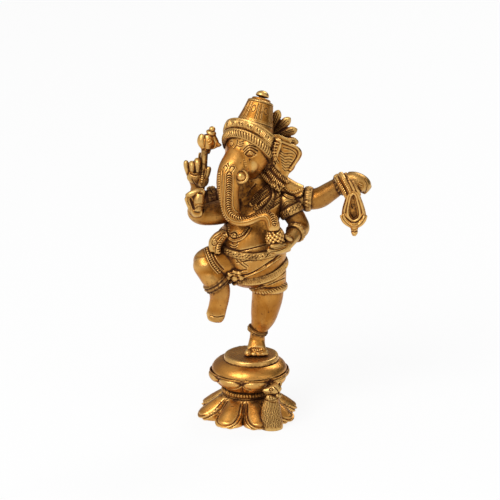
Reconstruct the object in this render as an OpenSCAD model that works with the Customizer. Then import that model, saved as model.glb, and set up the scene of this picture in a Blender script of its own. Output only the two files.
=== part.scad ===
/* [Pedestal] */
// Radius over the petal tips of the lower lotus
skirt_r = 34.5; // [31:0.5:37]
// Radius at the notches between the lower petals
notch_r = 23.5; // [22.5:0.5:26]
// Height of the lower lotus
skirt_h = 15.5; // [14:0.5:19]
// Number of petals on the lower lotus
skirt_petals = 8; // [6:1:12]
// Radius of the hollow at the rest face
hollow_r = 20; // [18:0.5:20.5]
// Thickness of metal above the hollow
hollow_roof = 3; // [2:0.5:5]
// Radius of the beaded collar
collar_r = 17.5; // [16:0.5:19]
// Height of the beaded collar
collar_h = 5.5; // [4:0.5:7]
// Radius over the petal tips of the upper lotus
bowl_r = 27.6; // [25:0.2:30]
// Height of the upper lotus
bowl_h = 9; // [7:0.5:12]
// Number of petals on the upper lotus
bowl_petals = 8; // [6:1:12]
// Radius of the cushion plate
seat_r = 25.4; // [22:0.2:28]
// Height of the cushion plate
seat_h = 9.5; // [7:0.5:12]
// Radius of the plate under the foot
plate_r = 17.6; // [16.6:0.2:19]
// Height of the plate under the foot
plate_h = 3.8; // [3:0.2:6]

/* [Tie stud] */
// Diameter of the stud that ties the pedestal to the foot
stud_d = 5; // [4:0.5:6]
// Length of stud inside the heel
stud_grip = 11; // [8:0.5:14]
// Diameter of the washer
washer_d = 10; // [9:0.5:11]
// Thickness of the washer
washer_t = 1; // [0.8:0.1:1.6]
// Width across the flats of the nut
nut_af = 8; // [7:0.5:9]
// Height of the nut
nut_h = 4; // [3:0.5:5]
// Gap all round between the stud and its holes
stud_gap = 0.25; // [0.1:0.05:0.4]

/* [Legs] */
// Length of the standing foot
foot_len = 19; // [16:0.5:22]
// Width of the standing foot over the toes
foot_w = 15; // [12:0.5:17]
// Height from the sole to the trouser hem
shin_h = 47.5; // [44:0.5:51]
// Radius of the standing ankle
ankle_r = 5.1; // [4.6:0.1:5.6]
// Radius of the standing calf
calf_r = 10; // [8.5:0.25:11]
// Radius of the trouser hem
hem_r = 12.6; // [12:0.2:14]
// Height from the hem to the hip line
thigh_h = 17.5; // [15:0.5:20]
// Width of the anklet
anklet_w = 2.8; // [2:0.2:4]
// Thickness of the anklet
anklet_t = 1.5; // [1:0.1:2.2]
// Radius of the raised thigh
thigh_r = 14.5; // [12.5:0.5:16]
// Radius of the raised shin
shin_r = 9; // [7.5:0.25:10]
// Length of the hanging foot from ankle to toes
hanging_foot = 17; // [14:0.5:20]

/* [Body] */
// Width of the belly
belly_w = 48; // [44:0.5:52]
// Depth of the belly
belly_d = 43; // [38:0.5:47]
// Width of the chest
chest_w = 38; // [35:0.5:41]
// Depth of the chest
chest_d = 24; // [21:0.5:27]
// Height from the hip line to the shoulder line
trunk_h = 47; // [43:0.5:51]
// Angle of the body towards its raised knee
body_turn = 24; // [14:1:32]
// Thickness of the ornament bands
band_t = 2.4; // [1.8:0.1:3.2]
// Radius of the round joint pegs of the limbs
peg_r = 3; // [2.5:0.1:3.4]
// Length of the limb pegs
peg_len = 6; // [4:0.5:7]
// Gap all round between a peg and its socket
peg_gap = 0.2; // [0.1:0.05:0.3]

/* [Head] */
// Height from the shoulder line to the middle of the head
head_rise = 33; // [31:0.5:36]
// Angle of the face towards the raised knee
head_turn = 35; // [25:1:45]
// Sideways lean of the head
head_lean = 14; // [6:1:18]
// Width of the head
head_w = 32; // [28:0.5:36]
// Radius of the trunk below the tusks
snout_r = 9.4; // [8.4:0.2:10.4]
// Radius of the tusk collar
tusk_r = 5; // [4:0.2:5.6]
// Thickness of the ears
ear_t = 3.2; // [2.4:0.2:4]
// Radius of the crown at its foot
crown_r = 13; // [11.5:0.25:14]
// Height of the crown cone
crown_h = 23; // [20:0.5:26]
// Radius of the crown bands
headband_r = 16.4; // [15.6:0.2:17.6]
// Radius of the crown knob
knob_r = 3.6; // [2.8:0.1:4.4]
// Radius of the round fan behind the head
halo_r = 20; // [18:0.5:22]
// Thickness of the fan
halo_t = 2.6; // [2:0.2:3.6]
// Number of ribs on the fan
halo_ribs = 14; // [12:1:18]

/* [Arms and attributes] */
// Radius of the upper arms
arm_r = 5.8; // [5.2:0.1:6.4]
// Radius of the wrists
wrist_r = 4.6; // [4.2:0.1:5.2]
// Thickness of the armlets and bracelets
cuff_t = 1.6; // [1.2:0.1:2.2]
// Width of the armlets and the trouser cuff
armlet_w = 6; // [4:0.5:7]
// Width of the bracelets
bracelet_w = 4; // [3:0.5:5]
// Gap between a ring and its limb
cuff_gap = 0.35; // [0.3:0.05:0.5]
// Width of the axe blade
axe_w = 8; // [7:0.5:10]
// Thickness of the axe blade
axe_t = 4.4; // [3.4:0.2:5.4]
// Height of the noose
noose_h = 28; // [25:0.5:32]
// Width of the noose
noose_w = 14; // [13:0.5:16]
// Thickness of the noose strap
noose_t = 4; // [3:0.25:5]
// Radius of the sweet bowl
sweet_r = 6; // [5:0.25:7]

/* [Hidden] */
$fn = 40;
brass = [0.72, 0.53, 0.25];
bright = [0.80, 0.62, 0.33];
dark = [0.55, 0.38, 0.17];

// Heights of the pedestal, one piece on the next
collar_z = skirt_h;
bowl_z = collar_z + collar_h;
seat_z = bowl_z + bowl_h;
plate_z = seat_z + seat_h;
sole_z = plate_z + plate_h;

// The chain of body points, each from the one below it
foot_at = [6.5, 0, sole_z];
stud_at = [6.3, 3, 0];
hem_at = [13.8, 0, sole_z + shin_h];
hip_at = [1.7, 0, hem_at[2] + thigh_h];
chest_at = hip_at + [4.8, 2.5, trunk_h];
head_at = chest_at + [-6, -8.5, head_rise];
facing = [-sin(body_turn), -cos(body_turn), 0];

// A point on the smooth curve through four stations
function bend(a, b, c, d, t) = 0.5 * (2 * b + (c - a) * t + (2 * a - 5 * b + 4 * c - d) * t * t
    + (3 * b - a - 3 * c + d) * t * t * t);
// More stations, smoothly between the given ones
function smooth(s, n) = [for (i = [0:len(s) - 2], k = [0:n - 1])
    bend(s[max(i - 1, 0)], s[i], s[i + 1], s[min(i + 2, len(s) - 1)], k / n), s[len(s) - 1]];
function place(s) = [s[0], s[1], s[2]];
// Direction of the path at one station
function heading(s, i, loop) = let (n = len(s),
    d = loop ? place(s[(i + 1) % n]) - place(s[(i + n - 1) % n])
             : place(s[min(i + 1, n - 1)]) - place(s[max(i - 1, 0)])) d / norm(d);
// Oval section at one station, half width across and half depth along up
function section(s, d, up, sides) = let (c = cross(d, up), side = c / norm(c), rise = cross(side, d))
    [for (k = [0:sides - 1]) place(s) + side * s[3] * cos(k * 360 / sides)
        + rise * s[4] * sin(k * 360 / sides)];

// Skin through oval stations [x, y, z, half width, half depth]
module skin(s, up, sides, loop) {
    n = len(s);
    rows = loop ? n : n - 1;
    points = [for (i = [0:n - 1]) each section(s[i], heading(s, i, loop), up, sides)];
    walls = [for (i = [0:rows - 1], k = [0:sides - 1]) let (j = (i + 1) % n, m = (k + 1) % sides)
        each [[i * sides + k, i * sides + m, j * sides + m], [i * sides + k, j * sides + m, j * sides + k]]];
    first = [[for (k = [sides - 1:-1:0]) k]];
    last = [[for (k = [0:sides - 1]) (n - 1) * sides + k]];
    polyhedron(points, loop ? walls : concat(walls, first, last));
}
module limb(stations, up = [0, -1, 0], sides = 12, steps = 2) skin(smooth(stations, steps), up, sides, false);
module hoop(stations, up = [0, 0, 1], sides = 6) skin(stations, up, sides, true);
module finger(points, r, up = [0, -1, 0.01]) {
    n = len(points) - 1;
    limb([for (i = [0:n]) concat(points[i], i < n ? [r, r] : [r * 0.55, r * 0.55])], up, 6, 2);
}
// One closed casting, blended from organic shapes
module casting() resize([0, 0, 0]) union() children();

// Height of a petal above its notches, 0 to 1, across one petal
function lobe(k, per) = pow(abs(cos(180 * (k / per - 0.5))), 0.55);
// Ring of petals through levels [z, notch radius, tip radius]
module petals(levels, n, per, turn) {
    m = n * per;
    points = [for (l = levels, k = [0:m - 1]) let (a = turn + k * 360 / m,
        r = l[1] + (l[2] - l[1]) * lobe(k % per, per)) [r * cos(a), r * sin(a), l[0]]];
    walls = [for (i = [0:len(levels) - 2], k = [0:m - 1]) let (a = i * m + k, b = i * m + (k + 1) % m)
        each [[a, a + m, b + m], [a, b + m, b]]];
    last = (len(levels) - 1) * m;
    polyhedron(points, concat(walls, [[for (k = [0:m - 1]) k]], [[for (k = [m - 1:-1:0]) last + k]]));
}
module stud_hole(z, h) translate([stud_at[0], stud_at[1], z - 1]) cylinder(d = stud_d + 2 * stud_gap, h = h + 2);

// Body section at a height, from the stations of the torso
torso_line = smooth([
    concat(hip_at + [3.6, -3, -14], [9, 8]),
    concat(hip_at + [2.8, -3, -10], [belly_w * 0.31, belly_d * 0.33]),
    concat(hip_at + [1.8, -3, -4], [belly_w * 0.43, belly_d * 0.42]),
    concat(hip_at + [1, -3.5, trunk_h * 0.09], [belly_w * 0.49, belly_d * 0.48]),
    concat(hip_at + [0.6, -4.5, trunk_h * 0.27], [belly_w * 0.5, belly_d * 0.5]),
    concat(hip_at + [0.6, -4.5, trunk_h * 0.46], [belly_w * 0.43, belly_d * 0.465]),
    concat(hip_at + [1.6, -2.5, trunk_h * 0.64], [chest_w * 0.46, chest_d * 0.68]),
    concat(hip_at + [3.6, 0.5, trunk_h * 0.82], [chest_w * 0.48, chest_d * 0.56]),
    concat(hip_at + [4.8, 2, trunk_h], [chest_w * 0.5, chest_d * 0.48]),
    concat(hip_at + [4.6, 2.5, trunk_h + 6], [chest_w * 0.38, chest_d * 0.4]),
    concat(hip_at + [4.1, 2, trunk_h + 11], [9.5, 8.5]),
    concat(hip_at + [3.3, 0, trunk_h + 18], [9, 8.5])], 2);
function at_height(z, i) = lookup(z, [for (s = torso_line) [s[2], s[i]]]);
across = cross([0, 0, 1], facing);
// Point on the body's surface, a counted from the left side round the front
function on_body(a, z, out) = [at_height(z, 0), at_height(z, 1), z]
    + across * (at_height(z, 3) + out) * cos(a) + facing * (at_height(z, 4) + out) * sin(a);

module torso_shape() {
    skin(torso_line, facing, 18, false);
    limb([concat(hem_at + [-3, -1.5, 22], [hem_r + 2, hem_r + 1]), concat(hem_at + [-1, -0.5, 11], [hem_r + 1, hem_r + 0.6]),
        concat(hem_at + [0, 0, 4], [hem_r, hem_r]), concat(hem_at, [hem_r + 0.4, hem_r + 0.4]),
        concat(hem_at + [0, 0, -1.5], [hem_r - 0.6, hem_r - 0.6])], facing, 18, 2);
}

// Pegs of the limbs: where each leaves its limb, and the way it points
hip_peg = [hip_at + [-24, -11, 3.4], [1, 0.45, 0]];
knee_peg = [hem_at + [0, 0, -4], [0, 0, 1]];
rear_right_peg = [chest_at + [-20, 3, -1.6], [1, 0, 0.1]];
front_right_peg = [chest_at + [-20, -7, -8], [1, 0.5, 0.2]];
rear_left_peg = [chest_at + [18, 2.5, 0.4], [-1, 0, 0]];
front_left_peg = [chest_at + [19.5, -6, -6], [-1, 0.15, 0]];
pegs = [hip_peg, knee_peg, rear_right_peg, front_right_peg, rear_left_peg, front_left_peg];
// A peg, or with a gap its socket
module peg(p, gap = 0) {
    d = p[1] / norm(p[1]);
    translate(p[0]) rotate([0, acos(d[2]), atan2(d[1], d[0])])
        cylinder(r = peg_r + gap, h = 2 * peg_len + gap, $fn = 12);
}

// Lower lotus: levels [height, notch radius, tip radius]
skirt_levels = [[0, notch_r - 0.6, skirt_r - 1.6], [1.6, notch_r, skirt_r], [4, notch_r - 0.4, skirt_r - 0.2],
    [5.6, notch_r - 2, skirt_r - 2.4], [9, notch_r - 4.2, skirt_r - 7.6], [12, notch_r - 5.6, skirt_r - 12],
    [skirt_h, collar_r - 1, collar_r - 0.4]];
module skirt_shape() petals(skirt_levels, skirt_petals, 7, -95);
module lotus_skirt() color(brass) difference() {
    casting() difference() {
        skirt_shape();
        rotate_extrude($fn = 32) polygon([[0, -1], [hollow_r, -1], [hollow_r - 0.6, 3], [13.6, skirt_h - hollow_roof],
            [0, skirt_h - hollow_roof]]);
    }
    stud_hole(skirt_h - hollow_roof, hollow_roof);
}
module neck_ring() color(dark) difference() {
    translate([0, 0, collar_z]) rotate_extrude() union() {
        square([collar_r - collar_h / 2, collar_h]);
        translate([collar_r - collar_h / 2, collar_h / 2]) circle(d = collar_h);
    }
    stud_hole(collar_z, collar_h);
}
module bowl_shape() petals([[bowl_z, collar_r - 0.8, collar_r - 0.2], [bowl_z + bowl_h * 0.15, bowl_r - 8.4, bowl_r - 5.4],
    [bowl_z + bowl_h * 0.4, bowl_r - 5.6, bowl_r - 2.6], [bowl_z + bowl_h * 0.6, bowl_r - 4, bowl_r - 1.6],
    [bowl_z + bowl_h * 0.8, bowl_r - 1.8, bowl_r], [bowl_z + bowl_h, bowl_r - 3.4, bowl_r - 1.4]], bowl_petals, 7, -102);
module lotus_bowl() color(brass) difference() {
    bowl_shape();
    stud_hole(bowl_z, bowl_h);
}
module seat_disc() color(bright) difference() {
    translate([0, 0, seat_z]) rotate_extrude() polygon(concat([[0, 0]], [for (a = [-90:15:90])
        [seat_r - 7.5 + 7.5 * cos(a), seat_h * (a < 0 ? 0.45 + 0.45 * sin(a) : 0.45 + 0.55 * sin(a))]], [[0, seat_h]]));
    stud_hole(seat_z, seat_h);
}
module foot_plate() color(bright) difference() {
    translate([0, 0, plate_z]) rotate_extrude() polygon([[0, 0], [plate_r + 0.6, 0], [plate_r, 1.5],
        [plate_r - 0.4, plate_h - 0.8], [plate_r - 1.2, plate_h], [0, plate_h]]);
    stud_hole(plate_z, plate_h);
}
mouse_at = [16.4, -27.6, 0];
module mouse_part(stations, up = [0, -1, 0], sides = 10) limb([for (s = stations) s + concat(mouse_at, [0, 0])], up, sides);
module mouse() color(brass) casting() difference() {
    union() {
        mouse_part([[0, 0, 2, 3.6, 4], [0, 0, 6, 6.2, 5.4], [0.2, 1.2, 12, 6, 5.6], [-0.2, 3, 18, 5.2, 5], [-0.6, 3.2, 24, 2.4, 2.6]]);
        mouse_part([[2.2, 4.2, 26.5, 1.6, 1.6], [0.2, 3.6, 26.4, 4.8, 4.4], [-2.8, 2.2, 25.4, 4.2, 4], [-7, 0.2, 23.4, 1.2, 1.2]], [0, 0, 1]);
        for (e = [[-1.8, 5, 31], [3, 4, 30.4]])
            mouse_part([concat(e - [0, 0, 3.6], [1.6, 1]), concat(e - [0, 0, 1], [2.4, 1.2]), concat(e + [0, 0, 0.8], [1.4, 0.8])], sides = 6);
        for (s = [-1, 1])
            mouse_part([[s * 5, 1.1, 17, 1.8, 1.8], [s * 4.4 - 0.2, -3, 15.4, 1.5, 1.5], [s * 1.6 - 0.4, -4, 17.6, 1.1, 1.1]], [0, 0, 1], 6);
    }
    skirt_shape();
    bowl_shape();
}

nut_z = skirt_h - hollow_roof - washer_t - nut_h;
module tie_stud() color(bright) translate([stud_at[0], stud_at[1], nut_z - 1.5])
    cylinder(d = stud_d, h = sole_z + stud_grip - nut_z + 1.5);
module stud_washer() color(bright) translate([stud_at[0], stud_at[1], skirt_h - hollow_roof - washer_t]) difference() {
    cylinder(d = washer_d, h = washer_t);
    translate([0, 0, -1]) cylinder(d = stud_d + 2 * stud_gap, h = washer_t + 2);
}
module stud_nut() color(bright) translate([stud_at[0], stud_at[1], nut_z]) difference() {
    cylinder(d = nut_af / cos(30), h = nut_h, $fn = 6);
    translate([0, 0, -1]) cylinder(d = stud_d + 0.2, h = nut_h + 2);
}

leg_line = [concat(foot_at + [0, 3, 3], [5, 5.6]), concat(foot_at + [0.1, 2.6, 9], [ankle_r + 0.2, ankle_r + 0.6]),
            concat(foot_at + [0.4, 2, 14.5], [ankle_r, ankle_r + 0.2]), concat(foot_at + [2.2, 1.5, 20], [calf_r * 0.66, calf_r * 0.68]),
            concat(foot_at + [4.2, 1, 26], [calf_r * 0.86, calf_r * 0.88]), concat(foot_at + [6, 0.5, shin_h * 0.74], [calf_r, calf_r]),
            concat(hem_at + [-0.2, 0, -5], [hem_r - 2, hem_r - 2]), concat(hem_at + [0, 0, 1.5], [hem_r - 1.8, hem_r - 1.8])];
module standing_leg_shape() difference() {
    union() {
        limb(leg_line, sides = 14);
        limb([concat(foot_at + [-0.3, foot_len * 0.45, 2.4], [2.4, 2.4]), concat(foot_at + [-0.3, foot_len * 0.34, 4], [foot_w * 0.3, 4]),
            concat(foot_at + [-0.2, foot_len * 0.1, 4.2], [foot_w * 0.33, 4.4]), concat(foot_at + [0, -foot_len * 0.2, 3.4], [foot_w * 0.41, 3.4]),
            concat(foot_at + [0.3, -foot_len * 0.42, 2.2], [foot_w * 0.47, 2.4]), concat(foot_at + [0.4, -foot_len * 0.5, 1.8], [foot_w * 0.44, 1.8])],
            [0, 0, 1], 12);
    }
    translate(foot_at + [-30, -30, -20]) cube([60, 60, 20]);
}
module standing_leg() color(brass) difference() {
    casting() {
        difference() {
            standing_leg_shape();
            torso_shape();
        }
        peg(knee_peg);
    }
    stud_hole(sole_z - 1, stud_grip + 0.5);
}
module anklet() color(bright) bangle(leg_line, 2, anklet_w, anklet_t);

raised_shin_line = [concat(hip_at + [-33, -20, 3], [shin_r * 0.7, shin_r * 0.7]), concat(hip_at + [-29, -20.2, -2.5], [shin_r * 0.88, shin_r]),
        concat(hip_at + [-24.6, -19.3, -8], [shin_r * 0.88, shin_r]), concat(hip_at + [-22, -18.4, -13], [shin_r * 0.86, shin_r * 0.88]),
        concat(hip_at + [-20.8, -17.5, -19], [shin_r * 0.74, shin_r * 0.76]), concat(hip_at + [-22, -17.5, -19 - hanging_foot * 0.42], [6.3, 5.2]),
        concat(hip_at + [-23.4, -18, -19 - hanging_foot * 0.76], [6.4, 4.4]), concat(hip_at + [-24.2, -18.6, -18 - hanging_foot], [5.4, 2.8])];
module raised_leg_shape() {
    limb([concat(hip_at + [-4, -2, 2], [thigh_r * 0.88, thigh_r * 0.9]), concat(hip_at + [-13, -6.5, 2.6], [thigh_r, thigh_r * 0.97]),
        concat(hip_at + [-23, -11.5, 3.4], [thigh_r * 0.92, thigh_r * 0.88]), concat(hip_at + [-30.5, -16.6, 4], [thigh_r * 0.77, thigh_r * 0.77]),
        concat(hip_at + [-35.2, -20, 3.4], [thigh_r * 0.55, thigh_r * 0.6]), concat(hip_at + [-38, -22, 2.6], [thigh_r * 0.24, thigh_r * 0.28])],
        [0, 0, 1], 16);
    limb(raised_shin_line, sides = 14);
}
module raised_leg() color(brass) casting() {
    difference() {
        raised_leg_shape();
        torso_shape();
    }
    peg(hip_peg);
}
module torso() color(brass) casting() difference() {
    torso_shape();
    for (p = pegs) peg(p, peg_gap);
}

// Ornament bands that lie on the body
module hip_sash() color(dark) casting() difference() {
    hoop([for (a = [0:15:345]) let (z = hip_at[2] + 1 - 9.5 * max(0, sin(a)) - 2 * cos(a) * 0.5)
        concat(on_body(a, z, 0.4), [band_t * 0.6, band_t * 1.3])]);
    torso_shape();
    raised_leg_shape();
}
module belly_band() color(dark) casting() difference() {
    hoop([for (a = [0:15:345]) concat(on_body(a, hip_at[2] + 15 - 4.5 * sin(a) - 2 * cos(a), 0.3), [band_t * 0.55, band_t * 0.9])]);
    torso_shape();
    raised_leg_shape();
}
module necklace() color(dark) casting() difference() {
    hoop([for (a = [0:15:345]) let (f = max(0, sin(a)))
        concat(on_body(a, chest_at[2] + 9.5 - 26 * pow(f, 2.6), 0.3), [band_t * 0.55, band_t * 0.8])]);
    torso_shape();
    rear_right_arm_shape();
    front_right_arm_shape();
    rear_left_arm_shape();
    front_left_arm_shape();
}

// Head and what it carries, drawn facing forward about the middle of the head
module on_head() translate(head_at) rotate([0, head_lean, 0]) rotate([0, 0, -head_turn]) children();
half_head = head_w / 2;
crown_foot = [-1, 1.5, 13];
module head_shape() {
    limb([[0, 3, -17, half_head * 0.5, 7], [0, 1.5, -12, half_head * 0.76, 11], [0, 0, -5, half_head * 0.93, 14],
        [0, 0, 3, half_head, 15], [0, 0.5, 10, half_head * 0.95, 14.6], [0, 1.5, 16, half_head * 0.72, 11.5]], sides = 18);
    limb([[0, -5, -1, 12, 11], [0.6, -11.5, -6, 11.4, 10], [2, -16.5, -12.5, snout_r + 1, 9], [3.5, -19, -20, snout_r, snout_r - 0.6],
        [5.5, -20, -29, snout_r - 1.4, snout_r - 1.6], [9, -19.4, -37, snout_r - 2.4, snout_r - 2.4],
        [14, -16.8, -41.5, snout_r - 3.2, snout_r - 3.2], [20.5, -13.8, -40, snout_r - 4, snout_r - 4],
        [26.5, -10.8, -36, snout_r - 4.4, snout_r - 4.4], [32, -8, -36, snout_r - 4.6, snout_r - 4.6],
        [35.5, -6.2, -41, snout_r - 4.9, snout_r - 4.9], [36, -5.8, -45.5, snout_r - 5.2, snout_r - 5.2]], [0.3, -1, 0.2], 14, 2);
}
module head() color(brass) casting() difference() {
    on_head() difference() {
        head_shape();
        translate([0, 0, crown_foot[2] + head_w]) cube(2 * head_w, center = true);
        for (s = [-1, 1]) tusk_seat(s) cylinder(r = tusk_r + peg_gap, h = 8, $fn = 20);
    }
    torso_shape();
}
// Flat round seat of a tusk on the cheek
module tusk_seat(s) translate([2 + s * 7.6, -16.4, -13]) rotate([70, 0, s * 28]) children();
module tusk(s) on_head() tusk_seat(s) rotate_extrude() polygon(concat([[0, 0], [tusk_r, 0], [tusk_r, 2.6], [tusk_r - 1, 3.6], [tusk_r - 2, 3]],
    [for (a = [10:20:90]) [(tusk_r - 2) * cos(a), 3 + (tusk_r - 2) * sin(a)]]));
module left_tusk() color(bright) tusk(1);
module right_tusk() color(bright) tusk(-1);
module ear(s) limb([[s * 9, 3, 4, ear_t * 0.6, 8], [s * 13.5, 6.5, 5, ear_t * 0.55, 11.5], [s * 18.5, 10.5, 2.5, ear_t * 0.5, 13.5],
    [s * 23.5, 14.5, 3.5, ear_t * 0.45, 11], [s * 27.4, 18, 7, ear_t * 0.4, 7], [s * 28.8, 19.6, 8.6, ear_t * 0.3, 3.6]], [0, 0, 1], 14);
module left_ear() color(brass) casting() on_head() difference() {
    ear(1);
    head_shape();
    band_shape();
}
module right_ear() color(brass) casting() on_head() difference() {
    ear(-1);
    head_shape();
    band_shape();
}
module crown_shape() translate(crown_foot) rotate_extrude() polygon([[0, 0], [crown_r + 0.6, 0], [crown_r - 0.6, 4],
    [crown_r - 2.4, 9], [crown_r - 4.2, crown_h * 0.75], [crown_r - 6, crown_h - 2], [crown_r - 7.4, crown_h], [0, crown_h]]);
module crown() color(brass) on_head() crown_shape();
module band_shape() hoop([for (a = [0:15:345])
    [headband_r * cos(a) - 0.5, 1 - headband_r * sin(a), 10.6 + 5.6 * sin(a), band_t, 6]]);
module crown_band() color(dark) casting() on_head() difference() {
    band_shape();
    head_shape();
    crown_shape();
}
module crown_finial() color(bright) on_head() translate(crown_foot + [0, 0, crown_h])
    rotate_extrude() polygon([[0, 0], [knob_r * 0.6, 0], [knob_r * 0.6, 0.8], [knob_r, 1.8], [knob_r, 3], [knob_r * 0.7, 4.4], [0, 5.2]]);
module halo() color(brass) casting() difference() {
    translate(head_at + [13.4, 16.4, 5]) rotate([90, 6, -8]) linear_extrude(halo_t) polygon([for (k = [0:halo_ribs * 4 - 1])
        let (a = k * 90 / halo_ribs, r = halo_r * (0.8 + 0.2 * lobe(k % 4, 4))) [r * cos(a), r * sin(a)]]);
    on_head() {
        head_shape();
        crown_shape();
        band_shape();
        ear(1);
        ear(-1);
    }
    torso_shape();
}

// Arms, each from the shoulder line of the chest
rear_right_line = [concat(chest_at + [-12, 3, 0], [arm_r, arm_r]), concat(chest_at + [-21, 3.5, -2], [arm_r * 1.1, arm_r * 1.1]),
    concat(chest_at + [-30, 3.5, -3.4], [arm_r * 1.1, arm_r * 1.1]), concat(chest_at + [-37.6, 2.5, -4.4], [arm_r, arm_r]),
    concat(chest_at + [-40, -0.5, 1.5], [arm_r * 0.85, arm_r * 0.85]), concat(chest_at + [-39.6, -3.5, 7], [wrist_r * 1.05, wrist_r * 0.9]),
    concat(chest_at + [-39.8, -5.5, 13.4], [wrist_r * 1.4, wrist_r * 0.85]), concat(chest_at + [-40, -6.3, 18], [wrist_r * 1.5, wrist_r * 0.8]),
    concat(chest_at + [-40, -6.3, 20.5], [wrist_r * 1.2, wrist_r * 0.5])];
module rear_right_arm_shape() {
    limb(rear_right_line);
    finger([chest_at + [-44.6, -6, 17], chest_at + [-46.4, -6.5, 22], chest_at + [-47.4, -6.5, 26]], 1.7);
    finger([chest_at + [-42.6, -6, 17], chest_at + [-43, -7, 22], chest_at + [-42.8, -10, 21]], 1.8);
    finger([chest_at + [-39.6, -6, 17], chest_at + [-39.6, -7, 24], chest_at + [-39.4, -10.4, 22.4]], 1.9);
    finger([chest_at + [-36.8, -6, 16], chest_at + [-36, -6.5, 23], chest_at + [-34.6, -6.5, 33]], 2.3);
    finger([chest_at + [-36, -6.5, 12], chest_at + [-33, -8.5, 16.5], chest_at + [-32.1, -9.5, 22]], 1.9);
}
module rear_right_arm() color(brass) casting() {
    difference() {
        rear_right_arm_shape();
        torso_shape();
    }
    peg(rear_right_peg);
}
axe_at = chest_at + [-34.4, -6.5, 32.7];
module axe() color(bright) casting() difference() {
    translate(axe_at) rotate([0, 18, 0]) {
        rotate_extrude($fn = 12) polygon([[0, -2.4], [3.2, -2.4], [3.6, -0.6], [3.2, 1.4], [2.4, 2.2], [2.8, 10],
            [3.2, 10.8], [3.2, 12], [2.2, 12.6], [1.8, 13.2], [2.4, 14.6], [1.8, 16.4], [0, 17]]);
        limb([[1, 0, 6.4, axe_t * 0.55, 3.4], [-axe_w * 0.5, 0, 6.6, axe_t * 0.45, 4], [-axe_w * 0.85, 0, 6.6, axe_t * 0.36, 3.6],
            [-axe_w, 0, 6.6, axe_t * 0.2, 2]], [0, 0, 1], 10, 2);
        limb([[-1, 0, 6.4, axe_t * 0.6, 3], [axe_w * 0.6, 0, 6, axe_t * 0.5, 2], [axe_w * 1.3, 0, 5.6, axe_t * 0.3, 0.9]], [0, 0, 1], 6, 2);
    }
    rear_right_arm_shape();
}
module front_right_arm_shape() {
    limb([concat(chest_at + [-13, -5, -7], [arm_r * 1.3, arm_r * 1.3]), concat(chest_at + [-21, -8.5, -8.4], [arm_r * 1.42, arm_r * 1.36]),
        concat(chest_at + [-29, -13, -9], [arm_r * 1.36, arm_r * 1.26]), concat(chest_at + [-37, -15.5, -9], [arm_r * 1.2, arm_r * 1.15]),
        concat(chest_at + [-41, -18.5, -6], [arm_r * 0.98, arm_r]), concat(chest_at + [-40, -21.5, -0.6], [wrist_r * 0.86, wrist_r * 0.9]),
        concat(chest_at + [-39.8, -23.5, 3.6], [wrist_r * 1.1, wrist_r * 0.9]), concat(chest_at + [-40.4, -25, 7], [wrist_r * 1.35, wrist_r * 0.8]),
        concat(chest_at + [-39.6, -25.4, 10], [wrist_r, wrist_r * 0.6])]);
    limb([concat(chest_at + [-39.5, -24.6, 6], [3.4, 3]), concat(chest_at + [-43.8, -26, 7.4], [3, 2.6]), concat(chest_at + [-47.6, -26.5, 7.1], [1.6, 1.6])], sides = 8);
    limb([concat(chest_at + [-39, -24.6, 6], [2.6, 2.6]), concat(chest_at + [-36.6, -25.2, 9.4], [2.4, 2.2]), concat(chest_at + [-35, -25.5, 11], [1.4, 1.4])], sides = 8);
}
module front_right_arm() color(brass) casting() {
    difference() {
        front_right_arm_shape();
        torso_shape();
        rear_right_arm_shape();
    }
    peg(front_right_peg);
}
rear_left_line = [concat(chest_at + [10, 2.5, 1], [arm_r, arm_r]),
    concat(chest_at + [21, 2.5, 0], [arm_r * 1.15, arm_r * 1.1]), concat(chest_at + [34, 1.2, -3.2], [arm_r * 1.2, arm_r * 1.15]),
    concat(chest_at + [41.5, 0.4, -2], [arm_r * 1.12, arm_r * 1.08]), concat(chest_at + [48.7, -1.5, 3.1], [arm_r, arm_r]),
    concat(chest_at + [55.9, -3.5, 8.2], [wrist_r * 1.25, wrist_r * 1.25]), concat(chest_at + [62.5, -5.5, 10.8], [wrist_r * 1.3, wrist_r * 1.3]),
    concat(chest_at + [69.1, -7, 9.4], [wrist_r * 1.2, wrist_r * 1.25]), concat(chest_at + [74, -7.5, 5.4], [wrist_r * 0.8, wrist_r * 0.9])];
module rear_left_arm_shape() limb(rear_left_line, [0, -1, 0.01]);
module rear_left_arm() color(brass) casting() {
    difference() {
        rear_left_arm_shape();
        torso_shape();
    }
    peg(rear_left_peg);
}
noose_at = chest_at + [63, -12, 5];
module noose() color(bright) casting() difference() {
    translate(noose_at) rotate([90, 0, 0]) linear_extrude(noose_t, center = true) difference() {
        union() {
            hull() {
                translate([-2, 6]) circle(noose_w * 0.3, $fn = 16);
                translate([0.4, -noose_h * 0.42]) circle(noose_w * 0.5, $fn = 24);
            }
            hull() {
                translate([0.6, -noose_h * 0.6]) circle(noose_w * 0.52, $fn = 20);
                translate([2.2, -noose_h]) circle(2, $fn = 12);
            }
        }
        hull() {
            translate([0, -4]) circle(noose_w * 0.1, $fn = 12);
            translate([0.4, -noose_h * 0.42]) circle(noose_w * 0.22, $fn = 16);
        }
    }
    bangle(rear_left_line, 5, bracelet_w);
    rear_left_arm_shape();
}
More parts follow.
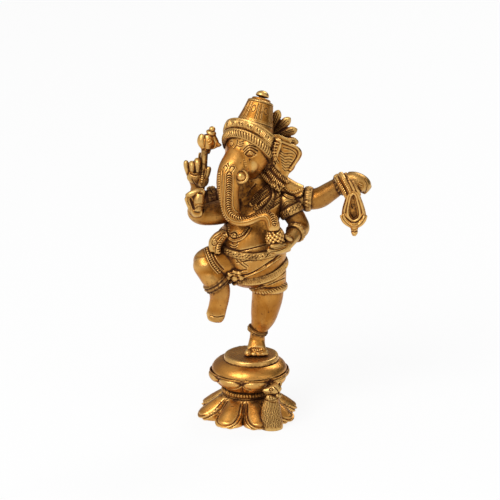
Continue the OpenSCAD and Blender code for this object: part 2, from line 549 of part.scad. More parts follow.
front_left_line = [concat(chest_at + [12, -2, -0.5], [arm_r, arm_r]), concat(chest_at + [19, -5, -2], [arm_r * 1.15, arm_r * 1.1]),
    concat(chest_at + [22.8, -7.5, -9], [arm_r * 1.2, arm_r * 1.15]), concat(chest_at + [26.6, -9.5, -15], [arm_r * 1.15, arm_r * 1.1]),
    concat(chest_at + [28.6, -12, -19.6], [arm_r * 1.1, arm_r * 1.1]), concat(chest_at + [25.6, -18.5, -20.6], [wrist_r * 1.15, wrist_r * 1.15]),
    concat(chest_at + [21.7, -25, -23], [wrist_r * 1.1, wrist_r]), concat(chest_at + [17, -30.4, -25], [wrist_r * 1.3, wrist_r * 0.85]),
    concat(chest_at + [12, -34, -25.6], [wrist_r * 1.3, wrist_r * 0.65]), concat(chest_at + [8.6, -35.6, -23.4], [wrist_r, wrist_r * 0.5])];
module front_left_arm_shape() limb(front_left_line, [0, -0.6, 0.8]);
module front_left_arm() color(brass) casting() {
    difference() {
        front_left_arm_shape();
        torso_shape();
        rear_left_arm_shape();
    }
    peg(front_left_peg);
}
module sweet_bowl() color(bright) casting() difference() {
    translate(chest_at + [11.7, -33, -19]) rotate_extrude($fn = 20) polygon([[0, -5], [sweet_r * 0.55, -5], [sweet_r, -1],
        [sweet_r, 1], [sweet_r * 0.8, 3.4], [sweet_r * 0.4, 5], [0, 5.4]]);
    front_left_arm_shape();
    on_head() head_shape();
}

// Ring round a limb at one of its stations, w wide and t thick
module bangle(line, i, w, t = cuff_t) {
    fine = smooth(line, 2);
    d = heading(fine, 2 * i, false);
    r = max([for (k = [-1:1]) max(fine[2 * i + k][3], fine[2 * i + k][4])]) + cuff_gap;
    translate(place(line[i])) rotate([0, acos(d[2]), atan2(d[1], d[0])]) rotate_extrude()
        polygon([[r, -w / 2], [r + t * 0.5, -w / 2], [r + t, -w / 4], [r + t * 0.6, 0], [r + t, w / 4],
            [r + t * 0.5, w / 2], [r, w / 2]]);
}
module rear_left_armlet() color(dark) bangle(rear_left_line, 2, armlet_w);
module rear_left_bracelet() color(dark) bangle(rear_left_line, 5, bracelet_w);
module front_left_armlet() color(dark) casting() difference() {
    bangle(front_left_line, 2, armlet_w, $fn = 20);
    torso_shape();
    rear_left_arm_shape();
    rear_left_armlet();
}
module front_left_bracelet() color(dark) bangle(front_left_line, 5, bracelet_w);
module rear_right_armlet() color(dark) bangle(rear_right_line, 2, armlet_w);
module raised_cuff() color(dark) casting() difference() {
    bangle(raised_shin_line, 3, armlet_w, $fn = 20);
    raised_leg_shape();
    torso_shape();
}

lotus_skirt();
neck_ring();
lotus_bowl();
seat_disc();
foot_plate();
mouse();
tie_stud();
stud_washer();
stud_nut();
standing_leg();
anklet();
raised_leg();
torso();
hip_sash();
belly_band();
necklace();
head();
left_tusk();
right_tusk();
left_ear();
right_ear();
crown();
crown_band();
crown_finial();
halo();
rear_right_arm();
axe();
front_right_arm();
rear_left_arm();
noose();
front_left_arm();
sweet_bowl();
rear_left_armlet();
rear_left_bracelet();
front_left_armlet();
front_left_bracelet();
rear_right_armlet();
raised_cuff();
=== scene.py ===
"""Looks of a cast brass idol, an elephant-headed dancer on a lotus pedestal, over its CAD frame."""
import logging
import math
from dataclasses import dataclass
from enum import Enum
from functools import partial
from typing import Callable, Optional, Sequence

import bmesh
import bpy
import numpy as np
from mathutils import Matrix, Vector


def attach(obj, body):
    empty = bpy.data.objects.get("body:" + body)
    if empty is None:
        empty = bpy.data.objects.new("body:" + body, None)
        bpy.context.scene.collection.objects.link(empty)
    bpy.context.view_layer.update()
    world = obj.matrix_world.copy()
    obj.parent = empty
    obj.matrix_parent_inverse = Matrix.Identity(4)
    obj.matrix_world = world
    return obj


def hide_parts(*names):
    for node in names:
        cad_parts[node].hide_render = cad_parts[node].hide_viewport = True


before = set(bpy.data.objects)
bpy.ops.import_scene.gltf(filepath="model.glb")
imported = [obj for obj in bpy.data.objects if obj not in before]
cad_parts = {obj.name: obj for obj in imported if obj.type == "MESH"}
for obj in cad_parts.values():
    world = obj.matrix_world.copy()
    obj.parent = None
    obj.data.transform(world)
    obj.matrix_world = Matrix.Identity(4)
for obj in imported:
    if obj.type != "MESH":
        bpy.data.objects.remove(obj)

log = logging.getLogger("idol")
MM = 0.001
# Turn from one direction to the next that spreads them evenly over a ball
GOLDEN_TURN = 2.399963
Array = np.ndarray
Relief = Callable[[Array, Array], Array]
Points = Sequence[Sequence[float]]
Colour = tuple[float, float, float]
Shape = bpy.types.Object
Socket = bpy.types.NodeSocket

# Body points in millimetres, the same as in the part's source
FOOT = np.array((6.5, 0.0, 43.3))
HEM = np.array((13.8, 0.0, 90.8))
HIP = np.array((1.7, 0.0, 108.3))
CHEST = np.array((6.5, 2.5, 155.3))
HEAD = np.array((0.5, -6.0, 188.3))
BODY_TURN = math.radians(24)
FACING = np.array((-math.sin(BODY_TURN), -math.cos(BODY_TURN), 0.0))
ACROSS = np.array((math.cos(BODY_TURN), -math.sin(BODY_TURN), 0.0))
HEAD_TURN = np.array(Matrix.Rotation(math.radians(14), 3, "Y") @ Matrix.Rotation(math.radians(-35), 3, "Z"))


@dataclass(frozen=True)
class Sight:
    """The line of sight that the engraved lines are set out along."""

    reach: float = 2000.0
    height: float = 114.5
    tilt: float = math.radians(17.8)
    step: float = 0.673
    middle: tuple[float, float] = (247.5, 254.0)

    @property
    def back(self) -> Array:
        """Direction from the object to the eye."""
        return np.array((0.0, -math.cos(self.tilt), math.sin(self.tilt)))

    @property
    def up(self) -> Array:
        """Upward direction across the line of sight."""
        return np.array((0.0, math.sin(self.tilt), math.cos(self.tilt)))

    @property
    def eye(self) -> Array:
        """Place of the eye in millimetres."""
        return np.array((0.0, 0.0, self.height)) + self.back * self.reach

    def project(self, points: Array) -> Array:
        """Sets points of the object on the picture.

        Args:
            points: Points in millimetres, one a row.
        Returns:
            Picture places, one a row.
        """
        off = points - np.array((0.0, 0.0, self.height))
        near = self.reach / (self.reach - off @ self.back) / self.step
        flat = (self.middle[0] + off[:, 0] * near, self.middle[1] - (off @ self.up) * near)
        return np.stack(flat, axis=1)

    def ray(self, x: float, y: float) -> Array:
        """Way from the eye through a picture place, as far as the object's middle."""
        aside = np.array(((x - self.middle[0]) * self.step, 0.0, 0.0))
        return aside + self.up * (self.middle[1] - y) * self.step - self.back * self.reach

    def place(self, spots: Points) -> Array:
        """Finds where picture places lie at a given depth.

        Args:
            spots: Rows of picture x, picture y and depth along Y in millimetres.
        Returns:
            Points in millimetres, one a row.
        """
        found = []
        for x, y, depth in spots:
            ray = self.ray(x, y)
            found.append(self.eye + ray * ((depth - self.eye[1]) / ray[1]))
        return np.array(found)

    def land(self, pieces: Sequence[Shape], spots: Points, sunk: float) -> Array:
        """Finds where picture places lie on pieces.

        Args:
            pieces: The pieces that may be hit.
            spots: Rows of picture x and picture y.
            sunk: Distance behind the surface in millimetres.
        Returns:
            Points in millimetres, one a row.
        """
        eye = Vector(self.eye) * MM
        found = []
        for x, y in spots:
            ray = unit(self.ray(x, y))
            hits = [piece.ray_cast(eye, Vector(ray)) for piece in pieces]
            near = [(eye - hit[1]).length for hit in hits if hit[0]]
            found.append(self.eye + ray * ((min(near) / MM if near else self.reach) + sunk))
        return np.array(found)


SIGHT = Sight()


def stretch(corners: Array, steps: int) -> list[Array]:
    """Puts points on the smooth stretch between the middle two of four corners.

    Args:
        corners: Rows before, at both ends of and after the stretch.
        steps: Rows on it.
    Returns:
        The rows, without the one at its far end.
    """
    a, b, c, d = corners
    found = []
    for t in np.arange(steps) / steps:
        row = 2 * b + (c - a) * t + (2 * a - 5 * b + 4 * c - d) * t * t
        found.append(0.5 * (row + (3 * b - a - 3 * c + d) * t ** 3))
    return found


def curve_through(points: Points, steps: int) -> Array:
    """Puts more points on a smooth curve through the given ones.

    Args:
        points: Rows of numbers that the curve passes through.
        steps: New rows for each given one.
    Returns:
        The rows of the finer curve.
    """
    rows = np.asarray(points, float)
    last = len(rows) - 1
    found = []
    for i in range(last):
        found += stretch(rows[[max(i - 1, 0), i, i + 1, min(i + 2, last)]], steps)
    return np.array([*found, rows[last]])


def loop_through(points: Points, steps: int) -> Array:
    """Puts more points on a smooth closed curve.

    Args:
        points: Rows of numbers that the curve passes through.
        steps: New rows for each given one.
    Returns:
        The rows of the finer curve, which end one step before the first.
    """
    rows = np.asarray(points, float)
    found = []
    for i in range(len(rows)):
        found += stretch(np.take(rows, range(i - 1, i + 3), axis=0, mode="wrap"), steps)
    return np.array(found)


def spiral(k: int, high: float) -> Array:
    """Direction number k of many that spread evenly over a ball, at a height on it."""
    flat, turn = math.sqrt(1 - high * high), k * GOLDEN_TURN
    return np.array((flat * math.cos(turn), flat * math.sin(turn), high))


def unit(rows: Array) -> Array:
    """Scales each row to length one."""
    return rows / np.maximum(np.linalg.norm(rows, axis=-1, keepdims=True), 1e-9)


def sections(rows: Array, up: Sequence[float], sides: int, loop: bool = False,
             relief: Optional[Relief] = None) -> Array:
    """Makes oval rings along a path.

    Args:
        rows: Rows of x, y, z, half width and half depth.
        up: Direction of the half depth.
        sides: Points on each ring.
        loop: Whether the path closes on itself.
        relief: Raised pattern, from the length along the path and the angle round it.
    Returns:
        Rings of points, in millimetres.
    """
    spots = rows[:, :3]
    if loop:
        ahead = np.roll(spots, -1, axis=0) - np.roll(spots, 1, axis=0)
    else:
        ahead = np.gradient(spots, axis=0)
    ahead = unit(ahead)
    side = unit(np.cross(ahead, np.asarray(up, float)))
    rise = np.cross(side, ahead)
    along = np.concatenate(([0.0], np.cumsum(np.linalg.norm(np.diff(spots, axis=0), axis=1))))
    angle = np.arange(sides) * 2 * math.pi / sides
    lift = np.zeros((len(rows), sides)) if relief is None else relief(along[:, None], angle[None, :])
    wide = (rows[:, 3:4] + lift) * np.cos(angle)
    deep = (rows[:, 4:5] + lift) * np.sin(angle)
    return spots[:, None, :] + side[:, None, :] * wide[..., None] + rise[:, None, :] * deep[..., None]


def from_anchor(anchor: Array, rows: Points) -> Array:
    """Moves stations to the body point that they are given from.

    Args:
        anchor: The body point in millimetres.
        rows: Stations that begin with x, y and z.
    Returns:
        The moved stations.
    """
    found = np.array(rows, float)
    found[:, :3] += anchor
    return found


def only(piece: Shape) -> None:
    """Selects one piece alone and makes it the active one.

    Args:
        piece: The piece.
    """
    bpy.ops.object.select_all(action="DESELECT")
    piece.select_set(True)
    bpy.context.view_layer.objects.active = piece


def settle(piece: Shape, name: str) -> None:
    """Applies one modifier of a piece."""
    only(piece)
    bpy.ops.object.modifier_apply(modifier=name)


def extruded(name: str, rings: Array, loop: bool = False) -> Shape:
    """Extrudes a disc through rings of points, or rolls a grid up into a closed band.

    Args:
        name: Name of the new piece.
        rings: Rings of points in millimetres.
        loop: Whether the last ring joins the first.
    Returns:
        The new piece, at the origin.
    """
    bpy.ops.object.select_all(action="DESELECT")
    if loop:
        bpy.ops.mesh.primitive_grid_add(x_subdivisions=rings.shape[1], y_subdivisions=rings.shape[0])
        shut = np.concatenate((rings, rings[:1]))
        shut = np.concatenate((shut, shut[:, :1]), axis=1)
        bpy.context.object.data.vertices.foreach_set("co", (shut * MM).ravel())
    else:
        bpy.ops.mesh.primitive_circle_add(vertices=rings.shape[1], radius=MM, fill_type="NGON")
    piece = bpy.context.object
    piece.name = piece.data.name = name
    bpy.ops.object.mode_set(mode="EDIT")
    for i, ring in enumerate([] if loop else rings):
        if i:
            bpy.ops.mesh.extrude_region()
        mesh = bmesh.from_edit_mesh(piece.data)
        for vert, spot in zip([v for v in mesh.verts if v.select], ring * MM):
            vert.co = spot
    bpy.ops.mesh.select_all(action="SELECT")
    if loop:
        bpy.ops.mesh.remove_doubles(threshold=1e-7)
    bpy.ops.mesh.normals_make_consistent(inside=False)
    bpy.ops.object.mode_set(mode="OBJECT")
    return piece


def limb(rows: Points, up: Sequence[float] = (0, -1, 0), sides: int = 24, steps: int = 6) -> Shape:
    """Extrudes a smooth limb through stations of x, y, z, half width and half depth."""
    return extruded("limb", sections(curve_through(rows, steps), up, sides))


def slab(outline: Array, thick: float, face: Sequence[float], steps: int = 8) -> Shape:
    """Models a flat leaf with a rounded edge.

    Args:
        outline: Closed outline in millimetres, round its middle.
        thick: Thickness in millimetres.
        face: Direction that it faces.
        steps: Points added between two of the outline.
    Returns:
        The leaf.
    """
    edge = loop_through(outline, steps)
    middle = edge.mean(0)
    face = unit(np.asarray(face, float))
    rings = []
    for share, side in (
            (0.02, -1), (0.4, -1), (0.75, -1), (0.92, -0.9), (0.98, -0.55), (1, 0), (0.98, 0.55),
            (0.92, 0.9), (0.75, 1), (0.4, 1), (0.02, 1)):
        rings.append(middle + (edge - middle) * share + face * side * thick / 2)
    return extruded("leaf", np.array(rings))


def ball(spot: Sequence[float], radius: Sequence[float], turn: Optional[Matrix] = None) -> Shape:
    """Adds a round lump.

    Args:
        spot: Middle of the lump in millimetres.
        radius: Half sizes along its three axes in millimetres.
        turn: How the lump is turned.
    Returns:
        The lump, at the origin with its place in its mesh.
    """
    bpy.ops.object.select_all(action="DESELECT")
    bpy.ops.mesh.primitive_uv_sphere_add(segments=20, ring_count=12, radius=1.0)
    piece = bpy.context.object
    spin = Matrix.Identity(4) if turn is None else turn.to_4x4()
    size = Matrix.Diagonal((*[r * MM for r in radius], 1.0))
    piece.data.transform(Matrix.Translation(Vector(spot) * MM) @ spin @ size)
    return piece


def joined(name: str, lumps: Sequence[Shape]) -> Shape:
    """Joins lumps into one piece.

    Args:
        name: Name of the piece.
        lumps: The shapes that it is made of.
    Returns:
        The piece.
    """
    only(lumps[0])
    for lump in lumps:
        lump.select_set(True)
    if len(lumps) > 1:
        bpy.ops.object.join()
    lumps[0].name = lumps[0].data.name = name
    return lumps[0]


def fused(name: str, lumps: Sequence[Shape], grain: float, soften: int) -> Shape:
    """Melts lumps into one casting.

    Args:
        name: Name of the casting.
        lumps: The closed shapes that it is made of.
        grain: Size of the new faces in millimetres.
        soften: Rounds of smoothing over the joins.
    Returns:
        The casting.
    """
    piece = joined(name, lumps)
    melt = piece.modifiers.new("melt", "REMESH")
    melt.mode = "VOXEL"
    melt.voxel_size = grain * MM
    settle(piece, "melt")
    rub = piece.modifiers.new("rub", "SMOOTH")
    rub.factor = 0.5
    rub.iterations = soften
    settle(piece, "rub")
    return piece


def surface(piece: Shape) -> tuple[Array, Array]:
    """Reads the surface of a piece.

    Args:
        piece: The piece.
    Returns:
        Its points in millimetres and their outward directions, one a row.
    """
    mesh = piece.data
    spots = np.empty(len(mesh.vertices) * 3, np.float32)
    mesh.vertices.foreach_get("co", spots)
    out = np.empty(len(mesh.vertices) * 3, np.float32)
    mesh.vertex_normals.foreach_get("vector", out)
    return spots.reshape(-1, 3).astype(float) / MM, out.reshape(-1, 3).astype(float)


class Cut(Enum):
    """Kinds of line that a carver makes."""

    GROOVE = "groove"
    RIDGE = "ridge"
    BEADS = "beads"
    LADDER = "ladder"
    ROPE = "rope"
    CHEVRON = "chevron"
    PAD = "pad"


def swell(t: Array) -> Array:
    """Round hump, one in the middle and nothing beyond one."""
    return np.clip(1 - t * t, 0, None) ** 2


def ramp(low: float, high: float, t: Array) -> Array:
    """Smooth step from nothing at low to one at high."""
    t = np.clip((t - low) / (high - low), 0, 1)
    return t * t * (3 - 2 * t)


@dataclass(frozen=True)
class Stroke:
    """One carved line: its kind, width and depth in millimetres, and the picture places that it follows."""

    cut: Cut
    wide: float
    deep: float
    path: Points
    pitch: float

    def lift(self, off: Array, along: Array) -> Array:
        """Height of the carving.

        Args:
            off: Distance from the line in millimetres, with its side as the sign.
            along: Length along the line in millimetres.
        Returns:
            Height above the plain surface in millimetres.
        """
        t = off / (self.wide / 2)
        wave = 2 * math.pi / self.pitch
        if self.cut is Cut.GROOVE:
            return -self.deep * swell(t)
        if self.cut is Cut.RIDGE:
            return self.deep * swell(t)
        if self.cut is Cut.BEADS:
            near = (np.mod(along, self.pitch) - self.pitch / 2) / (self.pitch / 2)
            bead = np.sqrt(np.clip(1 - near * near - t * t, 0, None))
            return self.deep * (bead * 1.2 - 0.35 * swell(t * 0.8))
        inside = ramp(1.0, 0.8, np.abs(t))
        if self.cut is Cut.LADDER:
            rail = swell((np.abs(t) - 0.82) / 0.22)
            return self.deep * np.maximum(rail, inside * np.cos(along * wave))
        if self.cut is Cut.ROPE:
            return self.deep * inside * (0.35 + 0.65 * np.cos(along * wave + t * 2.0))
        return self.deep * inside * np.cos((along - 0.3 * self.wide * t * t) * wave)


def drawn(cut: Cut, wide: float, deep: float, *path: Sequence[float], pitch: float = 1.6) -> Stroke:
    """Sets out one carved line through picture places."""
    return Stroke(cut, wide, deep, path, pitch)


groove = partial(drawn, Cut.GROOVE)
ridge = partial(drawn, Cut.RIDGE)
beads = partial(drawn, Cut.BEADS)
ladder = partial(drawn, Cut.LADDER)
rope = partial(drawn, Cut.ROPE)
chevron = partial(drawn, Cut.CHEVRON)
pad = partial(drawn, Cut.PAD)


def nearest(points: Array, line: Array) -> tuple[Array, Array]:
    """Measures points against a line of short pieces.

    Args:
        points: Points to measure, one a row.
        line: Corners of the line, one a row.
    Returns:
        Distance from the line, with its side as the sign in a picture, and length along the line.
    """
    start, step = line[:-1], np.diff(line, axis=0)
    size = np.maximum((step ** 2).sum(1), 1e-12)
    before = np.concatenate(([0.0], np.cumsum(np.sqrt(size))))[:-1]
    off = np.full(len(points), 1e9)
    along = np.zeros(len(points))
    for a, d, s, b in zip(start, step, size, before):
        rel = points - a
        t = np.clip(rel @ d / s, 0, 1)
        gap = rel - t[:, None] * d
        far = np.sqrt((gap ** 2).sum(1))
        better = far < np.abs(off)
        turn = rel[:, 0] * d[1] - rel[:, 1] * d[0] if points.shape[1] == 2 else 1.0
        sign = np.where(turn < 0, -1.0, 1.0)
        off = np.where(better, far * sign, off)
        along = np.where(better, b + t * math.sqrt(s), along)
    return off, along


def within(points: Array, outline: Array) -> Array:
    """Tells which points lie inside a closed outline on the picture.

    Args:
        points: Picture places, one a row.
        outline: Corners of the outline, one a row.
    Returns:
        Whether each point lies inside.
    """
    inside = np.zeros(len(points), bool)
    for a, b in zip(outline, np.roll(outline, -1, axis=0)):
        if a[1] == b[1]:
            continue
        crosses = (a[1] > points[:, 1]) != (b[1] > points[:, 1])
        at = (b[0] - a[0]) * (points[:, 1] - a[1]) / (b[1] - a[1]) + a[0]
        inside ^= crosses & (points[:, 0] < at)
    return inside


class Clay:
    """A casting's surface, read once, pushed about by the carver and put back."""

    def __init__(self, piece: Shape) -> None:
        """Keeps the casting and reads its surface."""
        self.piece = piece
        self.read()

    def read(self) -> None:
        """Reads the casting's points and their outward directions, with nothing carved yet."""
        self.spots, self.out = surface(self.piece)
        self.lift = np.zeros(len(self.spots))

    def carve(self, strokes: Sequence[Stroke]) -> "Clay":
        """Carves lines that are set out on the picture, on the side that faces the eye.

        Args:
            strokes: The lines.
        Returns:
            The same clay.
        """
        self.refine(strokes)
        flat = SIGHT.project(self.spots) * SIGHT.step
        seen = ramp(0.05, 0.4, self.out @ SIGHT.back)
        for stroke in strokes:
            if stroke.cut is Cut.PAD:
                line = loop_through(np.asarray(stroke.path) * SIGHT.step, 4)
                line = np.vstack((line, line[:1]))
            else:
                line = curve_through(np.asarray(stroke.path) * SIGHT.step, 5)
            room = stroke.wide + 1
            near = ((flat > line.min(0) - room) & (flat < line.max(0) + room)).all(1) & (seen > 0)
            if not near.any():
                continue
            off, along = nearest(flat[near], line)
            if stroke.cut is Cut.PAD:
                gap = np.where(within(flat[near], line[:-1]), np.abs(off), -np.abs(off))
                lift = stroke.deep * ramp(-0.15 * stroke.wide, stroke.wide, gap)
            else:
                lift = stroke.lift(off, along)
            self.lift[near] += lift * seen[near]
        return self

    def refine(self, strokes: Sequence[Stroke]) -> None:
        """Splits the faces under lines that are set out on the picture, so that fine lines come out clean.

        Args:
            strokes: The lines that will be carved.
        """
        flat = SIGHT.project(self.spots) * SIGHT.step
        chosen = np.zeros(len(flat), bool)
        for stroke in strokes:
            line = curve_through(np.asarray(stroke.path) * SIGHT.step, 4)
            room = stroke.wide / 2 + 0.5
            near = ((flat > line.min(0) - room) & (flat < line.max(0) + room)).all(1)
            index = np.flatnonzero(near & (self.out @ SIGHT.back > 0.02))
            inside = within(flat[index], line) if stroke.cut is Cut.PAD else np.zeros(len(index), bool)
            chosen[index] |= inside | (np.abs(nearest(flat[index], line)[0]) < room)
        only(self.piece)
        bpy.ops.object.mode_set(mode="EDIT")
        bpy.ops.mesh.select_mode(type="VERT")
        bpy.ops.mesh.select_all(action="DESELECT")
        bpy.ops.object.mode_set(mode="OBJECT")
        self.piece.data.vertices.foreach_set("select", chosen)
        bpy.ops.object.mode_set(mode="EDIT")
        bpy.ops.mesh.subdivide(number_cuts=1)
        bpy.ops.object.mode_set(mode="OBJECT")
        self.read()

    def level(self, height: float) -> "Clay":
        """Lifts the points under a height up to it, which makes a flat sole."""
        self.spots[:, 2] = np.maximum(self.spots[:, 2], height)
        return self

    def put_back(self) -> Shape:
        """Moves the casting's points by what was carved.

        Returns:
            The casting.
        """
        moved = self.spots + self.out * self.lift[:, None]
        self.piece.data.vertices.foreach_set("co", (moved * MM).ravel())
        self.piece.data.update()
        return self.piece


def cast(name: str, lumps: Sequence[Shape], grain: float, soften: int, strokes: Sequence[Stroke]) -> Shape:
    """Melts lumps into one casting and carves lines on it."""
    return Clay(fused(name, lumps, grain, soften)).carve(strokes).put_back()


class Motif(Enum):
    """Patterns that run along a band."""

    BEADS = "beads"
    ROPE = "rope"
    ROLLS = "rolls"
    LADDER = "ladder"
    SCROLL = "scroll"


@dataclass(frozen=True)
class Pattern:
    """A band's raised motif, how far apart it repeats and how high it stands, in millimetres."""

    motif: Motif
    pitch: float
    deep: float

    def lift(self, along: Array, angle: Array) -> Array:
        """Height of the pattern.

        Args:
            along: Length along the band.
            angle: Angle round the band's section, nothing on its outer face.
        Returns:
            Height above the plain band in millimetres.
        """
        outer = ramp(-0.1, 0.5, np.cos(angle))
        high = np.sin(angle)
        wave = along * 2 * math.pi / self.pitch
        rails = swell((np.abs(high) - 0.74) / 0.2)
        middle = ramp(0.62, 0.5, np.abs(high))
        if self.motif is Motif.BEADS:
            bead = np.sqrt(np.clip(1 - (np.sin(wave / 2) ** 2) * 1.3 - (high / 0.62) ** 2, 0, None))
            made = bead - 0.45 * middle + 0.5 * rails
        elif self.motif is Motif.ROPE:
            made = np.cos(wave + 2.4 * high) * ramp(1.0, 0.8, np.abs(high))
        elif self.motif is Motif.ROLLS:
            made = np.cos(high * 3 * math.pi) + 0.0 * wave
        elif self.motif is Motif.LADDER:
            made = np.maximum(rails * 1.0, middle * np.cos(wave)) - 0.2 * middle
        else:
            curl = np.cos(wave + 2.6 * np.sin(2 * math.pi * high)) * np.cos(wave / 2 - 3 * high)
            made = middle * curl + 0.8 * rails
        return self.deep * outer * made


def band(name: str, path: Array, thick: float, half_tall: float, pattern: Pattern,
         up: Sequence[float] = (0, 0, 1)) -> Shape:
    """Models a closed band with a pattern on its outer face.

    Args:
        name: Name of the band.
        path: Closed path in millimetres, turning left as seen along up reversed.
        thick: Half thickness across the face.
        half_tall: Half height along up.
        pattern: What is raised on it.
        up: Direction of its height.
    Returns:
        The band.
    """
    gaps = np.linalg.norm(path - np.roll(path, 1, axis=0), axis=1)
    total = gaps.sum()
    fit = max(1, round(total / pattern.pitch)) * pattern.pitch / total
    rows = np.column_stack((path, np.full(len(path), thick), np.full(len(path), half_tall)))
    rings = sections(rows, up, 28, True, lambda along, angle: pattern.lift(along * fit, angle))
    return extruded(name, rings, True)


def ring_path(middle: Array, axis: Array, radius: float) -> Array:
    """Makes a round path about an axis.

    Args:
        middle: Middle of the ring in millimetres.
        axis: Direction through the ring.
        radius: Its radius.
    Returns:
        The points of the path.
    """
    axis = unit(np.asarray(axis, float))
    side = unit(np.cross((0.0, 1.0, 0.001), axis))
    front = np.cross(axis, side)
    angle = np.arange(240)[:, None] * 2 * math.pi / 240
    return middle + radius * (np.cos(angle) * side + np.sin(angle) * front)


@dataclass
class Wiring:
    """Adds nodes to a material or a world and joins them up."""

    tree: bpy.types.NodeTree

    def node(self, kind: str, inputs: dict[str | int, object], **settings: str) -> bpy.types.Node:
        """Adds a node.

        Args:
            kind: Kind of the node.
            inputs: Socket, number or colour for each of its inputs that is fed.
            settings: Options that are set on it.
        Returns:
            The node.
        """
        made = self.tree.nodes.new("ShaderNode" + kind)
        for name, value in settings.items():
            setattr(made, name, value)
        for key, value in inputs.items():
            self.feed(made.inputs[key], value)
        return made

    def feed(self, socket: Socket, value: object) -> None:
        """Joins a socket to another one, or sets a number or a colour on it.

        Args:
            socket: The socket that is fed.
            value: The other socket, the number or the colour.
        """
        if isinstance(value, Socket):
            self.tree.links.new(value, socket)
        else:
            socket.default_value = (*value, 1.0) if socket.type == "RGBA" else value

    def noise(self, where: Socket, scale: float, detail: float) -> Socket:
        """Cloudy noise, from a place, the clouds in a metre and the rounds of finer ones."""
        return self.node("TexNoise", {"Vector": where, "Scale": scale, "Detail": detail}).outputs["Fac"]

    def mark(self, name: str) -> Socket:
        """A number that is kept on the mesh."""
        return self.node("Attribute", {}, attribute_name=name).outputs["Fac"]

    def math(self, kind: str, a: Socket, b: Socket | float) -> Socket:
        """Two numbers joined by a kind of sum."""
        return self.node("Math", {0: a, 1: b}, operation=kind).outputs["Value"]

    def spread(self, value: Socket, low: float, high: float, first: float, last: float) -> Socket:
        """A number carried smoothly from one range, low to high, to another, first to last."""
        inputs = {"Value": value, "From Min": low, "From Max": high, "To Min": first, "To Max": last}
        return self.node("MapRange", inputs, interpolation_type="SMOOTHSTEP").outputs["Result"]

    def blend(self, share: Socket, a: Colour | Socket, b: Colour | Socket) -> Socket:
        """Two colours mixed, with a share of the second."""
        return self.node("Mix", {0: share, 6: a, 7: b}, data_type="RGBA").outputs[2]


# Tint of edges worn by rubbing, which also paints a pale highlight on broad rounded areas, and depth of the
# casting's pits in metres
WEAR_AND_HIGHLIGHT_TINT = (0.88, 0.58, 0.20)
PIT_DEPTH = 0.00035


@dataclass(frozen=True)
class Brass:
    """Cast brass, polished on its heights and brown in its hollows, with painted shade darkening the
    hollows where little sky is seen and a painted pale highlight on broad rounded heights.
    """

    name: str
    slot: str
    bright: Colour
    warm: Colour
    brown: Colour
    shine: float
    dull: float
    pits: float

    def material(self) -> bpy.types.Material:
        """Builds the finish, or finds it if it was built before.

        Returns:
            The material.
        """
        found = bpy.data.materials.get(self.name)
        if found is not None:
            return found
        made = bpy.data.materials.new(self.name)
        made.use_nodes = True
        wires = Wiring(made.node_tree)
        skin = made.node_tree.nodes["Principled BSDF"].inputs
        where = wires.node("TexCoord", {}).outputs["Object"]
        tone = wires.noise(where, 75.0, 4.0)
        blot = wires.noise(where, 420.0, 3.0)
        grit = wires.noise(where, 1900.0, 2.0)
        speck = wires.spread(blot, 0.3, 0.72, -0.10, 0.26)
        freckle = wires.spread(wires.noise(where, 850.0, 2.0), 0.58, 0.74, 0.0, 0.5)
        # The hollow mark is patina plus painted shade where little sky is seen; with the random specks it
        # turns the colour brown, less metallic and rougher
        marks = wires.math("ADD", wires.math("ADD", wires.mark("hollow"), speck), freckle)
        stain_and_shade = wires.spread(marks, 0.12, 0.95, 0.0, 1.0)
        metal = wires.blend(wires.spread(tone, 0.35, 0.65, 0.0, 1.0), self.bright, self.warm)
        # The worn mark is wear on fine edges plus a painted pale highlight on broad rounded areas, mixed
        # towards the pale tint
        wear_and_highlight = wires.blend(wires.math("MULTIPLY", wires.mark("worn"), 0.6), metal, WEAR_AND_HIGHLIGHT_TINT)
        wires.feed(skin["Base Color"], wires.blend(stain_and_shade, wear_and_highlight, self.brown))
        wires.feed(skin["Metallic"], wires.spread(stain_and_shade, 0.0, 1.0, 1.0, 0.72))
        rough = wires.spread(stain_and_shade, 0.0, 1.0, self.shine, self.dull)
        wires.feed(skin["Roughness"], wires.math("ADD", rough, wires.spread(blot, 0.3, 0.7, -0.05, 0.09)))
        height = wires.math("ADD", grit, blot)
        bump = wires.node("Bump", {"Strength": self.pits, "Distance": PIT_DEPTH, "Height": height})
        wires.feed(skin["Normal"], bump.outputs["Normal"])
        return made

    def dress(self, piece: Shape) -> None:
        """Gives a piece this finish."""
        piece.data.materials.clear()
        piece.data.materials.append(self.material())


CAST = Brass("aged_cast_brass", "cast_brass", (0.55, 0.235, 0.041), (0.39, 0.147, 0.020),
             (0.085, 0.025, 0.005), 0.37, 0.66, 0.26)
TONED = Brass("toned_cast_brass", "cast_brass", (0.41, 0.170, 0.029), (0.285, 0.105, 0.015),
              (0.064, 0.019, 0.004), 0.38, 0.66, 0.26)
RUBBED = Brass("rubbed_cast_brass", "cast_brass", (0.66, 0.302, 0.060), (0.49, 0.200, 0.033),
               (0.100, 0.031, 0.007), 0.35, 0.64, 0.22)
POLISHED = Brass("rubbed_bright_brass", "polished_brass", (0.66, 0.302, 0.062), (0.49, 0.200, 0.034),
                 (0.100, 0.031, 0.007), 0.34, 0.62, 0.16)
ORNAMENT = Brass("darkened_ornament_brass", "ornament_brass", (0.50, 0.212, 0.037), (0.35, 0.130, 0.018),
                 (0.066, 0.020, 0.004), 0.39, 0.66, 0.28)
SHADED = Brass("shaded_ornament_brass", "ornament_brass", (0.36, 0.145, 0.025), (0.25, 0.090, 0.013),
               (0.055, 0.016, 0.004), 0.42, 0.68, 0.28)
FASTENER = Brass("plain_fastener_brass", "fastener_brass", (0.70, 0.50, 0.22), (0.60, 0.40, 0.15),
                 (0.12, 0.07, 0.03), 0.34, 0.50, 0.05)


@dataclass
class Piece:
    """A finished piece with what it stands for."""

    shape: Shape
    nodes: tuple[str, ...]
    finish: Brass


